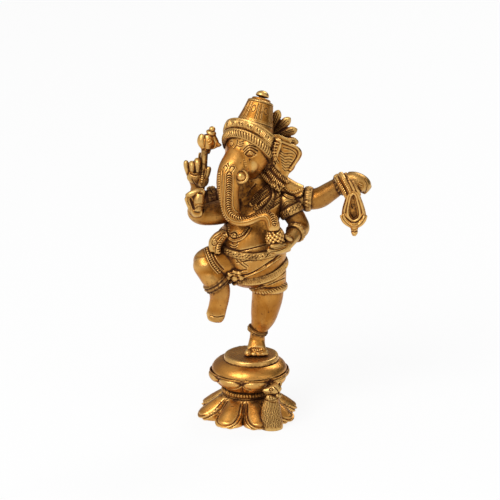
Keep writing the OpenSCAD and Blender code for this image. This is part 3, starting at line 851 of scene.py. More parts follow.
@dataclass
class PatinaAndPaintedLight:
    """Finds the hollows, worn heights and contacts of all pieces, and keeps them on their meshes: patina in
    the hollows and where pieces meet, painted shade where a point sees little sky, wear on fine edges and a
    painted pale highlight on broad rounded areas.
    """

    fine: float = 0.75
    broad: float = 2.6
    cell: float = 0.9
    views: int = 56
    grid: float = 1.1

    def lay(self, pieces: Sequence[Shape]) -> None:
        """Writes the marks that the finishes read.

        Args:
            pieces: Every piece of the object that has a brass finish.
        """
        data = [self._read(piece) for piece in pieces]
        ends = np.cumsum([len(spots) for spots, _, _ in data])[:-1]
        sky = np.split(self._sky(np.vstack([d[0] for d in data]), np.vstack([d[1] for d in data])), ends)
        cells = [np.unique(self._keys(spots)) for spots, _, _ in data]
        boxes = [(spots.min(0) - 2, spots.max(0) + 2) for spots, _, _ in data]
        for i, (piece, (spots, out, edges)) in enumerate(zip(pieces, data)):
            near = [cells[j] for j in range(len(data)) if j != i and self._meet(boxes[i], boxes[j])]
            touch = np.zeros(len(spots))
            if near:
                others = np.unique(np.concatenate(near))
                for shift in (
                        (0, 0, 0), (1, 0, 0), (-1, 0, 0), (0, 1, 0), (0, -1, 0), (0, 0, 1), (0, 0, -1)):
                    touch = np.maximum(touch, np.isin(self._keys(spots, shift), others))
            span = np.linalg.norm(spots[edges[:, 0]] - spots[edges[:, 1]], axis=1).mean()
            small = self._rub(spots, edges, self._rounds(self.fine, span))
            large = self._rub(small, edges, self._rounds(self.broad, span))
            dip = ((small - spots) * out).sum(1)
            sink = ((large - spots) * out).sum(1)
            touch = self._rub(touch[:, None], edges, self._rounds(1.1, span))[:, 0]
            shut = self._rub(sky[i][:, None], edges, 3)[:, 0]
            # Patina in fine and broad hollows and where pieces meet, plus painted shade where a point sees
            # little sky
            hollow = 1.0 * ramp(0.01, 0.11, dip) + 0.5 * ramp(0.12, 0.9, sink)
            hollow = hollow + 0.4 * ramp(0.15, 0.9, touch) + 0.5 * ramp(0.72, 0.22, shut)
            self._write(piece, "hollow", np.clip(hollow, 0, 1))
            # Wear on fine edges plus a painted pale highlight on broad rounded areas, kept off the hollows
            # and the painted shade
            height = np.maximum(ramp(0.015, 0.10, -dip), 0.75 * ramp(0.05, 0.45, -sink))
            self._write(piece, "worn", height * np.clip(1 - hollow, 0, 1))

    def _sky(self, spots: Array, out: Array) -> Array:
        """Finds how much of the sky each point sees, from pictures of depth on many sides.

        Args:
            spots: Points of all pieces in millimetres.
            out: Their outward directions.
        Returns:
            Share of the sky, one for a point with nothing before it.
        """
        seen = np.zeros(len(spots))
        total = np.full(len(spots), 1e-6)
        middle = np.array((0.0, 0.0, 110.0))
        for k in range(self.views):
            high = 1 - 2 * (k + 0.5) / self.views
            if high < -0.95:
                continue
            way = spiral(k, high)
            side = unit(np.cross(way, (0.31, 0.52, 0.79)))
            rise = np.cross(way, side)
            cell = np.floor(((spots - middle) @ side + 220) / self.grid).astype(np.int64) * 500
            cell += np.floor(((spots - middle) @ rise + 220) / self.grid).astype(np.int64)
            depth = spots @ way
            top = np.full(500 * 500, -1e9)
            np.maximum.at(top, cell, depth)
            facing = np.clip(out @ way, 0, 1)
            slope = np.sqrt(1 - facing ** 2) / np.maximum(facing, 0.12)
            clear = depth > top[cell] - 0.6 - 1.2 * self.grid * slope
            seen += clear * facing
            total += facing
        return seen / total

    @staticmethod
    def _meet(a: Sequence[Array], b: Sequence[Array]) -> bool:
        """Whether two boxes, each given by its corners, overlap."""
        return bool((a[0] < b[1]).all() and (b[0] < a[1]).all())

    @staticmethod
    def _rounds(reach: float, span: float) -> int:
        """Rounds of smoothing that reach a length over edges of a span."""
        return int(min(48, max(2, round(2 * (reach / span) ** 2))))

    def _keys(self, spots: Array, shift: Sequence[int] = (0, 0, 0)) -> Array:
        """Numbers the cell that each point lies in."""
        cell = np.floor(spots / self.cell).astype(np.int64) + 500 + np.array(shift)
        return (cell[:, 0] * 1000 + cell[:, 1]) * 1000 + cell[:, 2]

    @staticmethod
    def _read(piece: Shape) -> tuple[Array, Array, Array]:
        """Reads a piece.

        Args:
            piece: The piece.
        Returns:
            Its points in millimetres, their outward directions, and its edges.
        """
        spots, out = surface(piece)
        edges = np.empty(len(piece.data.edges) * 2, np.int32)
        piece.data.edges.foreach_get("vertices", edges)
        return spots, out, edges.reshape(-1, 2)

    @staticmethod
    def _rub(values: Array, edges: Array, rounds: int) -> Array:
        """Evens out values over neighbouring points.

        Args:
            values: Rows of numbers, one for each point.
            edges: Pairs of neighbouring points.
            rounds: How often they are evened out.
        Returns:
            The new rows.
        """
        count = len(values)
        a, b = edges[:, 0], edges[:, 1]
        share = np.maximum(np.bincount(a, minlength=count) + np.bincount(b, minlength=count), 1)
        for _ in range(rounds):
            total = [np.bincount(a, values[b, k], count) + np.bincount(b, values[a, k], count)
                     for k in range(values.shape[1])]
            values = 0.3 * values + 0.7 * np.stack(total, axis=1) / share[:, None]
        return values

    @staticmethod
    def _write(piece: Shape, name: str, values: Array) -> None:
        """Keeps one number for each point on the mesh."""
        mark = piece.data.attributes.new(name, "FLOAT", "POINT")
        mark.data.foreach_set("value", values.astype(np.float32))


def turned(
        profile: Points, sides: int = 128,
        relief: Optional[Callable[[Array, Array, Array], Array]] = None,
        middle: Sequence[float] = (0.0, 0.0)) -> Array:
    """Makes rings of a turned piece.

    Args:
        profile: Rows of radius and height, from one end to the other.
        sides: Points on each ring.
        relief: Raised pattern, from the angle, the radius and the height.
        middle: Place of the axis.
    Returns:
        Rings of points in millimetres.
    """
    rows = np.asarray(profile, float)
    run = np.gradient(rows, axis=0)
    out = unit(np.stack((run[:, 1], -run[:, 0]), axis=1))
    angle = np.arange(sides) * 2 * math.pi / sides
    lift = np.zeros((len(rows), sides))
    if relief is not None:
        lift = relief(angle[None, :], rows[:, 0:1], rows[:, 1:2])
    far = rows[:, 0:1] + lift * out[:, 0:1]
    high = rows[:, 1:2] + lift * out[:, 1:2]
    return np.stack((middle[0] + far * np.cos(angle), middle[1] + far * np.sin(angle), high), axis=2)


@dataclass
class Pedestal:
    """Two rings of lotus petals, the collar between them, and the plates that carry the foot."""

    petals: int = 8
    sides: int = 320
    skirt_turn: float = math.radians(-97)
    bowl_turn: float = math.radians(-102)
    hollow: Points = (
        (12.5, 0.5, 0.5), (12.5, 8, 8), (12.5, 13.2, 13.2), (12, 13.9, 13.9), (8, 16.4, 16.4),
        (3, 19.4, 19.4), (0.3, 20, 20), (0, 20.4, 20.4))
    skirt: Points = (
        (0, 22.4, 32), (0.5, 23.2, 33.7), (1.7, 23.5, 34.5), (3.2, 23.3, 34.5), (4.4, 22.8, 33.9),
        (5.6, 21.5, 32.1), (9, 19.3, 26.9), (12, 17.9, 22.5), (15.5, 16.5, 17.1))
    bowl: Points = (
        (21, 16.7, 17.3), (22.4, 18.6, 20.4), (24.2, 20, 22.4), (26, 21.2, 23.8), (27.6, 22.2, 24.9),
        (29, 23.2, 25.8), (30.4, 24.2, 26.5), (31.8, 25.2, 27.1), (32.6, 25.5, 27.2), (33, 25.6, 26.9),
        (32.6, 25.5, 26.3), (30.5, 24.8, 25.5))

    def build(self) -> list[Piece]:
        """Models the five pieces of the pedestal.

        Returns:
            The pieces, from the ground up.
        """
        return [
            Piece(self._skirt(), ("lotus_skirt",), RUBBED),
            Piece(self._collar(), ("neck_ring",), ORNAMENT),
            Piece(self._bowl(), ("lotus_bowl",), RUBBED),
            Piece(self._seat(), ("seat_disc",), POLISHED),
            Piece(self._plate(), ("foot_plate",), POLISHED)]

    def _petal_rings(self, levels: Array, turn: float, relief: Relief, aside: float = 0.0) -> Array:
        """Makes rings of petals.

        Args:
            levels: Rows of height, radius at the notches and radius at the tips.
            turn: Angle of the first notch.
            relief: Raised pattern, from the place across a petal and the height.
            aside: How far the axis stands to the right, in millimetres.
        Returns:
            Rings of points in millimetres.
        """
        angle = np.arange(self.sides) * 2 * math.pi / self.sides
        across = np.mod((angle - turn) * self.petals / (2 * math.pi), 1.0) * 2 - 1
        bulge = np.abs(np.cos(across * math.pi / 2)) ** 0.55
        run = np.gradient(levels[:, [2, 0]], axis=0)
        out = unit(np.stack((run[:, 1], -run[:, 0]), axis=1))
        lift = relief(across[None, :], levels[:, 0:1])
        far = levels[:, 1:2] + (levels[:, 2:3] - levels[:, 1:2]) * bulge[None, :] + lift * out[:, 0:1]
        high = np.maximum(levels[:, 0:1] + lift * out[:, 1:2], 0.0)
        return np.stack((aside + far * np.cos(angle), far * np.sin(angle), high), axis=2)

    @staticmethod
    def _plain(across: Array, height: Array) -> Array:
        """Height of no pattern at all."""
        return np.zeros((height.shape[0], across.shape[1]))

    def _skirt(self) -> Shape:
        """Models the lower lotus with its bordered petals and the hollow under it.

        Returns:
            The lotus.
        """
        def border(across: Array, height: Array) -> Array:
            """Height of a petal's raised middle and of the lines round it.

            Args:
                across: Place across a petal.
                height: Height in millimetres.
            Returns:
                Height above the plain surface in millimetres.
            """
            down = (15.5 - height) / 15.5
            ring = np.sqrt((across / 0.66) ** 2 + (np.clip(down - 0.40, 0, None) / 0.42) ** 2)
            lines = 1.0 * swell(np.minimum(ring, 1.0)) - 0.75 * swell((ring - 1.05) / 0.13)
            lines = lines + 0.6 * swell((ring - 1.22) / 0.12) - 0.6 * swell((ring - 1.37) / 0.1)
            lines = lines + 0.5 * swell((ring - 1.5) / 0.12)
            return lines * ramp(0.03, 0.16, down)
        outer = curve_through(self.skirt, 7)
        lid = np.array(((15.5, 8.0, 8.0), (15.5, 0.5, 0.5)))
        rings = np.concatenate((
            self._petal_rings(np.array(self.hollow, float), self.skirt_turn, self._plain),
            self._petal_rings(outer, self.skirt_turn, border),
            self._petal_rings(lid, self.skirt_turn, self._plain)))
        return extruded("lotus_skirt_petals", rings)

    def _collar(self) -> Shape:
        """Models the collar with a row of upright beads between two plain rings.

        Returns:
            The collar.
        """
        profile = [
            (0.5, 15.5), (15, 15.5), (16.4, 15.55), (17.1, 15.9), (17.3, 16.3), (16.9, 16.75),
            (16.5, 16.95)]
        profile += [(17.1 + 0.65 * math.sin(math.pi * k / 12), 17.05 + 2.7 * k / 12) for k in range(13)]
        profile += [(16.5, 19.9), (17, 20.1), (17.3, 20.5), (17, 20.9), (16.4, 21), (15, 21), (0.5, 21)]

        def pearls(angle: Array, radius: Array, height: Array) -> Array:
            """Height of the row of beads."""
            row = ramp(17.0, 17.4, height) * ramp(19.9, 19.5, height)
            return row * (0.55 * np.abs(np.cos(angle * 26)) ** 0.7 - 0.35)
        return extruded("collar_beads", turned(profile, 416, pearls))

    def _bowl(self) -> Shape:
        """Models the upper lotus with its bulging petals and thin scalloped rim.

        Returns:
            The lotus.
        """
        def pillow(across: Array, height: Array) -> Array:
            """Height of a petal's bulge and of the line round it.

            Args:
                across: Place across a petal.
                height: Height in millimetres.
            Returns:
                Height above the plain surface in millimetres.
            """
            body = np.sqrt((across / 0.86) ** 2 + ((height - 28.6 - 0.8 * across ** 2) / 3.2) ** 2)
            lines = 1.8 * np.sqrt(np.clip(1 - body ** 2, 0, None)) - 0.8 * swell((body - 1.1) / 0.14)
            return lines * ramp(32.6, 31.8, height)
        outer = curve_through(self.bowl, 7)
        foot = np.array(((21, 0.5, 0.5), (21, 8, 8), (21, 15, 15)), float)
        lid = np.array(((30.5, 20.0, 20.0), (30.5, 8.0, 8.0), (30.5, 0.5, 0.5)))
        rings = np.concatenate((self._petal_rings(foot, self.bowl_turn, self._plain, 1.1),
                                self._petal_rings(outer, self.bowl_turn, pillow, 1.1),
                                self._petal_rings(lid, self.bowl_turn, self._plain, 1.1)))
        return extruded("lotus_bowl_petals", rings)

    def _hand_worked(self, angle: Array, radius: Array, height: Array) -> Array:
        """Slow unevenness of a hand-finished disc.

        Args:
            angle: Angle round the axis.
            radius: Distance from it in millimetres.
            height: Height in millimetres.
        Returns:
            Height above the plain surface in millimetres.
        """
        wave = np.sin(angle * 3 + 0.6) * 0.5 + np.sin(angle * 7 + height) * 0.3
        wave = wave + np.sin(angle * 5 + radius * 0.3) * 0.3
        return 0.16 * wave * ramp(2, 12, radius)

    def _seat(self) -> Shape:
        """Models the cushion plate.

        Returns:
            The plate.
        """
        profile = [(0.5, 30), (9, 30), (18, 30), (24.6, 30.05), (25.2, 30.4), (25.5, 31.4)]
        for k in range(0, 37):
            a = math.radians(2.5 * k)
            profile.append((18.1 + 7.5 * math.cos(a) ** 1.6, 33.0 + 7.2 * math.sin(a)))
        profile += [(9, 40.2), (0.5, 40.2)]
        return extruded("cushion_plate", turned(profile, 160, self._hand_worked, (1.1, 0.0)))

    def _plate(self) -> Shape:
        """Models the plate under the foot, with a rounded rim and a cast, uneven top.

        Returns:
            The plate.
        """
        profile = [
            (0.5, 40.2), (10, 40.2), (18.1, 40.2), (18.7, 40.3), (18.8, 40.8), (18.6, 41.4), (18.4, 41.9),
            (18.3, 42.3), (18.1, 42.7), (17.8, 43), (17.2, 43.25), (16.3, 43.3)]
        profile += [(16.3 - 15.8 * k / 24, 43.3) for k in range(1, 25)]

        def worn(angle: Array, radius: Array, height: Array) -> Array:
            """Height of the dents on the top.

            Args:
                angle: Angle round the axis.
                radius: Distance from it in millimetres.
                height: Height in millimetres.
            Returns:
                Height above the plain surface in millimetres.
            """
            x, y = radius * np.cos(angle), radius * np.sin(angle)
            dents = np.sin(x * 1.7 + 0.4 * y) * np.sin(y * 2.1 - 0.5 * x)
            dents = dents + 0.6 * np.sin(x * 3.3 + 1.0) * np.sin(y * 2.9)
            return self._hand_worked(angle, radius, height) + 0.11 * dents * ramp(43.0, 43.3, height)
        return extruded("foot_plate_disc", turned(profile, 160, worn, (2.6, 0.0)))


@dataclass
class Mouse:
    """The mouse that sits up on the front petals, set out on the picture."""

    body: Points = (
        (1.2, 2.4, 23, 3.6, 4), (-0.4, 2, 19, 5.2, 5), (-1, 1.6, 14.5, 6.4, 5.6), (-1.2, 1, 10, 7, 6.4),
        (-1.1, 0.4, 5, 7.7, 7), (-0.8, 0, 0.8, 7.9, 7), (-0.8, 0, -0.5, 7, 6.4))
    face: Points = (
        (280.4, 386, -24.4, 2.2), (277.6, 387.4, -25, 3.6), (273.6, 389.6, -26, 3.9),
        (269.2, 390.6, -26.8, 3), (265.2, 390.6, -27.4, 1.7), (262.8, 390.2, -27.6, 0.8))
    paw: Points = (
        (275, 399.4, -29.4, 2), (271.4, 398.6, -30.4, 2.2), (268.6, 397.4, -30.6, 1.9),
        (266.6, 396.6, -30.2, 1.2))
    features: Sequence[Stroke] = (
        pad(0.7, -0.8, (278.4, 383), (280.4, 382.8), (280.6, 385), (278.8, 385.4)),
        groove(0.9, 0.45, (263.6, 391.8), (267.4, 393.2), (271.4, 392.8)),
        pad(0.6, 0.5, (269.8, 389), (271.4, 388.5), (272.2, 389.9), (270.6, 390.6)),
        groove(0.8, 0.35, (268.9, 389.8), (271, 387.6), (273.2, 389.9), (271, 391.4), (268.9, 389.8)),
        groove(1.1, 0.5, (264.6, 399.4), (269.4, 401), (274.6, 400.2), (278.6, 397.4)),
        groove(0.8, 0.4, (269.6, 396.2), (270.2, 399.6)),
        groove(0.8, 0.4, (272.6, 396.4), (273, 400)),
        groove(1, 0.4, (274, 386.6), (277.6, 390.4), (278.8, 394)))

    def build(self) -> list[Piece]:
        """Models the mouse.

        Returns:
            The mouse as one piece.
        """
        lumps = [finger([row[:3] for row in rows], [row[3] for row in rows], 28)
                 for rows in (self.face, self.paw)]
        lumps.append(limb(from_anchor(np.array((17.0, -27.6, 0.0)), self.body), sides=36))
        lumps.append(ball(SIGHT.place(((279.4, 384, -25.4),))[0], (1.9, 1.2, 1.9)))
        lumps.append(ball(SIGHT.place(((277.6, 395.4, -27),))[0], (2.6, 2.6, 2.2)))
        mouse = cast("mouse_casting", lumps, 0.3, 4, [*self._fur(), *self.features])
        return [Piece(Clay(mouse).level(0.0).put_back(), ("mouse",), TONED)]

    @staticmethod
    def _fur() -> list[Stroke]:
        """Lists the short upright lines of the fur.

        Returns:
            The lines.
        """
        found = []
        for row in range(9):
            for column in range(13):
                x = 262.6 + column * 1.65 - row * 0.25 + 0.5 * math.sin(row * 2.3)
                x = x + 0.3 * math.sin(column * 5.1)
                y = 401.6 + row * 2.9 + 0.5 * math.sin(column * 3.7)
                found.append(groove(0.7, 0.3, (x, y), (x + 0.2, y + 2.3)))
        return found


@dataclass
class Legs:
    """The leg that stands on the pedestal, its anklet, and the raised leg with its trouser cuff."""

    standing: Points = (
        (0, 3, 0.2, 5, 5.6), (0, 3, 3, 5, 5.6), (0.1, 2.6, 9, 5.3, 5.7), (0.4, 2, 14.5, 5.1, 5.3),
        (2.2, 1.5, 20, 6.6, 6.8), (4.2, 1, 26, 8.6, 8.8), (6, 0.5, 35.15, 10, 10),
        (7.1, 0, 42.5, 10.6, 10.6), (7.3, 0, 49, 10.8, 10.8))
    sole: Points = (
        (-0.3, 7.6, 2.4, 2.4, 2.4), (-0.3, 5.6, 4, 4.5, 4), (0, 2, 4.2, 5.5, 4.6),
        (-0.2, -2.4, 3.2, 7.4, 3.4), (-0.3, -5, 2.2, 8, 2.3), (-0.3, -6.4, 1.8, 7.4, 1.7))
    instep: Points = ((0, 2.5, 10, 5.2, 5), (-0.3, -0.5, 6.4, 6, 4.4), (-0.4, -3.6, 4, 6.8, 3.2))
    toes: Points = (
        (-6.1, -6.1, 2.2, 2.5), (-2.2, -6.5, 1.8, 1.9), (0.9, -6.4, 1.75, 1.8), (3.7, -6, 1.7, 1.75),
        (6.2, -5.4, 1.65, 1.65))
    thigh: Points = (
        (-4, -2, 2, 12.8, 13), (-13, -6.5, 2.6, 14.5, 14.1), (-23, -11.5, 3.4, 13.3, 12.8),
        (-29.5, -16, 3.4, 11, 11), (-33, -18.6, 2.4, 8, 8.4))
    shin: Points = (
        (-31.5, -20, 3.5, 5.8, 5.8), (-26.6, -20.2, -2, 7.4, 8.6), (-22.6, -19.3, -7.5, 7.6, 8.6),
        (-20.6, -18.4, -13, 7.4, 7.9), (-20.4, -17.5, -19, 6.6, 6.7), (-21.8, -17.5, -26.1, 6.3, 5.2),
        (-23.4, -18, -31.9, 6.4, 4.4), (-24.6, -18.4, -34.6, 4.6, 2.8), (-25, -18.6, -35.8, 2.2, 1.4))
    knee: Points = (
        (-31.4, -17.4, 10.8, 5.4, 5.4), (-29.8, -17.8, 6, 8.9, 8.5), (-26.6, -18.8, 0, 8.7, 8.8),
        (-24, -19.4, -5, 8.2, 8.6), (-22.4, -19.3, -9, 7.4, 8.2))

    def build(self) -> list[Piece]:
        """Models both legs and their rings.

        Returns:
            The four pieces.
        """
        return [
            Piece(self._standing(), ("standing_leg",), CAST),
            Piece(self._anklet(), ("anklet",), ORNAMENT),
            Piece(self._raised(), ("raised_leg",), CAST),
            Piece(self._cuff(), ("raised_cuff",), ORNAMENT)]

    def _standing(self) -> Shape:
        """Models the standing leg with its foot and toes.

        Returns:
            The leg.
        """
        lumps = [
            limb(from_anchor(FOOT, self.standing), sides=64),
            limb(from_anchor(FOOT, self.sole), (0, 0, 1)),
            limb(from_anchor(FOOT, self.instep))]
        for x, y, z, r in self.toes:
            rows = ((x * 0.8, y + 4, z + 1, r * 0.9, r), (x * 0.95, y + 1.6, z + 0.5, r, r),
                    (x, y, z, r * 1.05, r), (x, y - r * 0.8, z - 0.3, r * 0.6, r * 0.55))
            lumps.append(limb(from_anchor(FOOT, rows), (0, 0, 1), 16))
        leg = cast("standing_leg_casting", lumps, 0.4, 18, [
            groove(0.9, 0.3, (246.6, 354.6), (248.2, 353.8), (249.8, 354.4)),
            ridge(1.4, 0.25, (252.5, 349.5), (257, 352.5), (262.5, 351.5)),
            beads(1.4, 0.25, (251.5, 347.6), (257, 350), (263.5, 349), pitch=1.3),
            groove(3.2, 0.25, (262, 300), (268, 312), (266, 322)),
            groove(4, 0.22, (255, 303), (254, 313), (257, 324))])
        return Clay(leg).level(FOOT[2]).put_back()

    def _anklet(self) -> Shape:
        """Models the anklet as plain rings side by side.

        Returns:
            The anklet.
        """
        axis = np.array((0.3, -0.09, 0.95))
        middle = FOOT + np.array((0.4, 2, 16.4))
        rolls = Pattern(Motif.ROLLS, 1.9, 0.35)
        return band("anklet_rings", ring_path(middle, axis, 5.8), 1.2, 1.8, rolls, axis)

    def _raised(self) -> Shape:
        """Models the raised leg with the belt on its thigh and the crease of its toes.

        Returns:
            The leg.
        """
        lumps = [
            limb(from_anchor(HIP, self.thigh), (0, 0, 1), 64),
            limb(from_anchor(HIP, self.shin), sides=64),
            limb(from_anchor(HIP, self.knee), sides=64)]
        belt = ((206.2, 245.2), (208.6, 254), (213, 263.6), (219.6, 271.6))
        return cast("raised_leg_casting", lumps, 0.42, 26, [
            ridge(1.3, 0.6, *[(x - 2, y + 2.2) for x, y in belt]),
            beads(1.9, 0.7, *belt, pitch=1.5),
            ridge(1.1, 0.5, *[(x + 2.2, y - 1.2) for x, y in belt]),
            groove(1.4, 0.5, *[(x + 4, y - 2.2) for x, y in belt]),
            groove(1.2, 0.6, (210.6, 315.6), (216.7, 317.2), (223.6, 316))])

    def _cuff(self) -> Shape:
        """Models the rolled trouser cuff under the raised knee.

        Returns:
            The cuff.
        """
        axis = np.array((-0.55, -0.08, 0.83))
        middle = HIP + np.array((-22.6, -19.3, -7.6))
        rolls = Pattern(Motif.ROLLS, 3.0, 0.3)
        return band("trouser_cuff_rolls", ring_path(middle, axis, 7.5), 1.8, 3.2, rolls, axis)


SHOULDER_LINES = [
    ridge(1.5, 0.55, (280.6, 188), (286, 194.4), (294.4, 197), (303, 193)),
    groove(0.9, 0.4, (282, 186.6), (286.8, 192.4), (294.4, 194.8), (302, 191.2)),
    beads(1.5, 0.5, (283.2, 185.6), (287.8, 190.6), (294.4, 192.6), (301, 189.4), pitch=1.4),
    groove(1.2, 0.5, (280, 191), (285.4, 196.8), (294.4, 199.6), (303.6, 195.6))]


@dataclass
class Body:
    """The belly and chest with the draped cloth, and the bands that lie on them."""

    trunk: Points = (
        (3.6, -3, -14, 9, 8), (2.8, -3, -10, 14.88, 14.19), (1.8, -3, -4, 20.64, 18.06),
        (1, -3.5, 4.23, 23.52, 20.64), (0.6, -4.5, 12.69, 24, 21.5), (0.6, -4.5, 21.62, 20.64, 20),
        (1.6, -2.5, 30.08, 17.48, 16.32), (3.6, 0.5, 38.54, 18.24, 13.44), (4.8, 2, 47, 19, 11.52),
        (4.6, 2.5, 53, 14.44, 9.6), (4.1, 2, 58, 9, 8.2), (3.3, 0, 65, 6.5, 6.5))
    trouser: Points = (
        (-3, -1.5, 22, 14.6, 13.6), (-1, -0.5, 11, 13.6, 13.2), (0, 0, 4.5, 12.4, 12.4),
        (0, 0, 3.6, 12.3, 12.3), (0, 0, 2.4, 13.3, 13.3), (0, 0, 0.2, 13.4, 13.4),
        (0, 0, -1.2, 12.2, 12.2))
    strands: Sequence[Points] = (
        ((266, 157, -3), (270, 163, -7.5), (274.6, 170, -8.5), (281, 176.5, -8.5), (288, 182, -7.5)),
        ((262, 162, -3), (266, 168, -7.5), (270.6, 174.4, -9), (276.6, 180.6, -9.5), (283.6, 187, -9)),
        ((258, 167, -3), (262, 173, -7.5), (267, 179, -9), (273, 184.4, -10), (279.4, 190.4, -10)))
    shoulder: Points = (
        (263, 177, 1.5), (275, 179, 0.5), (284, 184, -1), (292, 188.4, -1.5), (302, 192, -1.5))
    chest_lines: Sequence[Stroke] = (
        ladder(3.4, 0.55, (251.5, 204.2), (259.5, 198.2), (268.5, 191.5), (274.5, 186), pitch=1.3),
        ladder(2.6, 0.5, (254.5, 197.8), (262, 191.5), (270, 184.6), (273, 181), pitch=1.2),
        groove(2.2, 0.9, (257.5, 204), (264.7, 197.6), (271, 191.8), (276, 187)),
        beads(2, 0.6, (254, 209), (263.1, 204), (272, 198.2), (280.7, 192.4), pitch=1.5),
        groove(1.4, 0.6, (256, 211), (265, 206.2), (274, 200.4), (281.5, 195)),
        ridge(1.5, 0.6, (276.6, 182.8), (277.8, 188), (279.6, 194)),
        ridge(1.3, 0.5, (274, 183), (275, 188), (276.6, 193)),
        groove(1.2, 0.4, (247, 196), (250, 190), (256, 184)),
        *[rope(2.6, 0.45, *[spot[:2] for spot in strand[1:]], pitch=1.4) for strand in strands],
        groove(1.4, 0.5, (266, 209.5), (272, 208), (279, 203)),
        rope(2.2, 0.4, (268, 207.4), (274, 204.6), (281, 199.4), pitch=1.4))
    cloth_lines: Sequence[Stroke] = (
        groove(1.3, 0.5, (218, 257.3), (228, 265.7), (239.4, 270.3), (246.5, 269.4)),
        ridge(1.2, 0.4, (216.5, 258.8), (226, 267.4), (237, 272), (247.6, 271.2)),
        groove(1.2, 0.5, (235.4, 253.5), (237.4, 261.1), (246.3, 268)),
        groove(1, 0.4, (238.4, 254), (240.4, 260.4), (248.6, 266.4)),
        groove(1.4, 0.5, (236.6, 262.6), (244.8, 261.6), (258.6, 257.8), (270.8, 253.5)),
        groove(1.6, 0.7, (220.3, 263.4), (228, 270.8), (237.1, 275), (247.8, 274.4), (258.6, 269.4),
               (272.3, 260.3)),
        groove(2, 0.8, (266.4, 265.6), (273.4, 260.2), (278.6, 254.6)),
        ridge(1.2, 0.5, (243.3, 277.6), (254, 273.6), (266.2, 267.4), (280.6, 257)),
        groove(1.2, 0.5, (243.3, 288), (258.6, 286.2), (273.9, 278.8), (284, 270)),
        ridge(1.2, 0.4, (248.6, 289.4), (262, 287), (276, 280), (286.4, 271.6)),
        groove(1.1, 0.4, (252, 286.9), (268.4, 284.8), (285, 277.8)),
        rope(2.2, 0.35, (249.4, 291.6), (258, 293), (268, 292), (278, 288.8), (286.4, 284.2),
             pitch=1.8))

    def build(self) -> list[Piece]:
        """Models the body, its barred belt, its scrolled band and its long strand of beads.

        Returns:
            The four pieces.
        """
        a = -np.arange(760) * 2 * math.pi / 760
        front = np.clip(np.sin(a), 0, None)
        hips = self.on_body(a, HIP[2] + 3 - 9.5 * front - np.cos(a), 0.4)
        waist = self.on_body(a, HIP[2] + 19 - 5.5 * np.sin(a) - 2 * np.cos(a), 0.3)
        chest = self.on_body(a, CHEST[2] + 9.5 - 26 * front ** 2.6, 0.3)
        barred = Pattern(Motif.LADDER, 1.5, 0.5)
        scrolled = Pattern(Motif.SCROLL, 3.2, 0.5)
        beaded = Pattern(Motif.BEADS, 1.7, 0.55)
        return [
            Piece(self._torso(), ("torso",), CAST),
            Piece(band("hip_belt", hips, 1.35, 2.7, barred), ("hip_sash",), ORNAMENT),
            Piece(band("belly_band_scrolls", waist, 1.25, 2.5, scrolled), ("belly_band",), ORNAMENT),
            Piece(band("necklace_strand", chest, 1.2, 1.9, beaded), ("necklace",), ORNAMENT)]

    @property
    def line(self) -> Array:
        """Finer stations of the trunk."""
        return curve_through(from_anchor(HIP, self.trunk), 6)

    def on_body(self, angle: Array, height: Array, out: float) -> Array:
        """Finds points on the body's surface.

        Args:
            angle: Angle from the left side round the front.
            height: Height of each point in millimetres.
            out: Distance outside the surface.
        Returns:
            The points in millimetres.
        """
        line = self.line
        at = [np.interp(height, line[:, 2], line[:, k]) for k in range(5)]
        middle = np.stack((at[0], at[1], height), axis=1)
        side = ACROSS * ((at[3] + out) * np.cos(angle))[:, None]
        return middle + side + FACING * ((at[4] + out) * np.sin(angle))[:, None]

    def _torso(self) -> Shape:
        """Models the trunk of the body and carves the cloth, strands and pendant on its front.

        Returns:
            The torso.
        """
        lumps = [
            extruded("trunk", sections(self.line, FACING, 48)),
            limb(from_anchor(HEM, self.trouser), FACING, 48)]
        thigh = limb(from_anchor(HIP, Legs.thigh), (0, 0, 1), 40)
        lumps += self._knot([*lumps[:2], thigh]) + self._flare()
        bpy.data.objects.remove(thigh)
        lumps += [finger(strand, (1.2, 1.5, 1.8, 1.8, 1.5)) for strand in self.strands]
        lumps.append(finger(self.shoulder, (4.2, 5, 5.5, 5.2, 4.6), 32))
        return cast("torso_casting", lumps, 0.55, 4, [
            *self.chest_lines, *self._belly_lines(), *self.cloth_lines, *SHOULDER_LINES])

    @staticmethod
    def _knot(ground: Sequence[Shape]) -> list[Shape]:
        """Models the rosette of the sash.

        Args:
            ground: The shapes that it lies on.
        Returns:
            Its petals and its middle.
        """
        turns = [k * 2 * math.pi / 8 for k in range(8)]
        spots = [(234.4 + 6.8 * math.cos(a), 277.8 + 5.2 * math.sin(a)) for a in turns]
        found = [ball(spot, (1.9, 1.9, 1.9)) for spot in SIGHT.land(ground, spots, -1.6)]
        return [*found, ball(SIGHT.land(ground, ((234.4, 277.8),), -1.6)[0], (2.6, 2.6, 2.6))]

    @staticmethod
    def _flare() -> list[Shape]:
        """Models the cloth that flares from the waist over the raised thigh.

        Returns:
            Its folds.
        """
        rolls = (
            ((225, 231, -15), (218, 236.5, -17), (213.4, 243, -18.5), (213.6, 252, -20.5)),
            ((227, 234, -17), (221, 240, -19), (217.4, 246.5, -20.5), (217.6, 254, -22.5)))
        return [
            finger(rolls[0], (2.2, 3.3, 3.4, 2.4)),
            finger(rolls[1], (1.8, 2.4, 2.6, 2)),
            ball(SIGHT.place(((214.6, 241, -20),))[0], (2.6, 2, 2.6))]

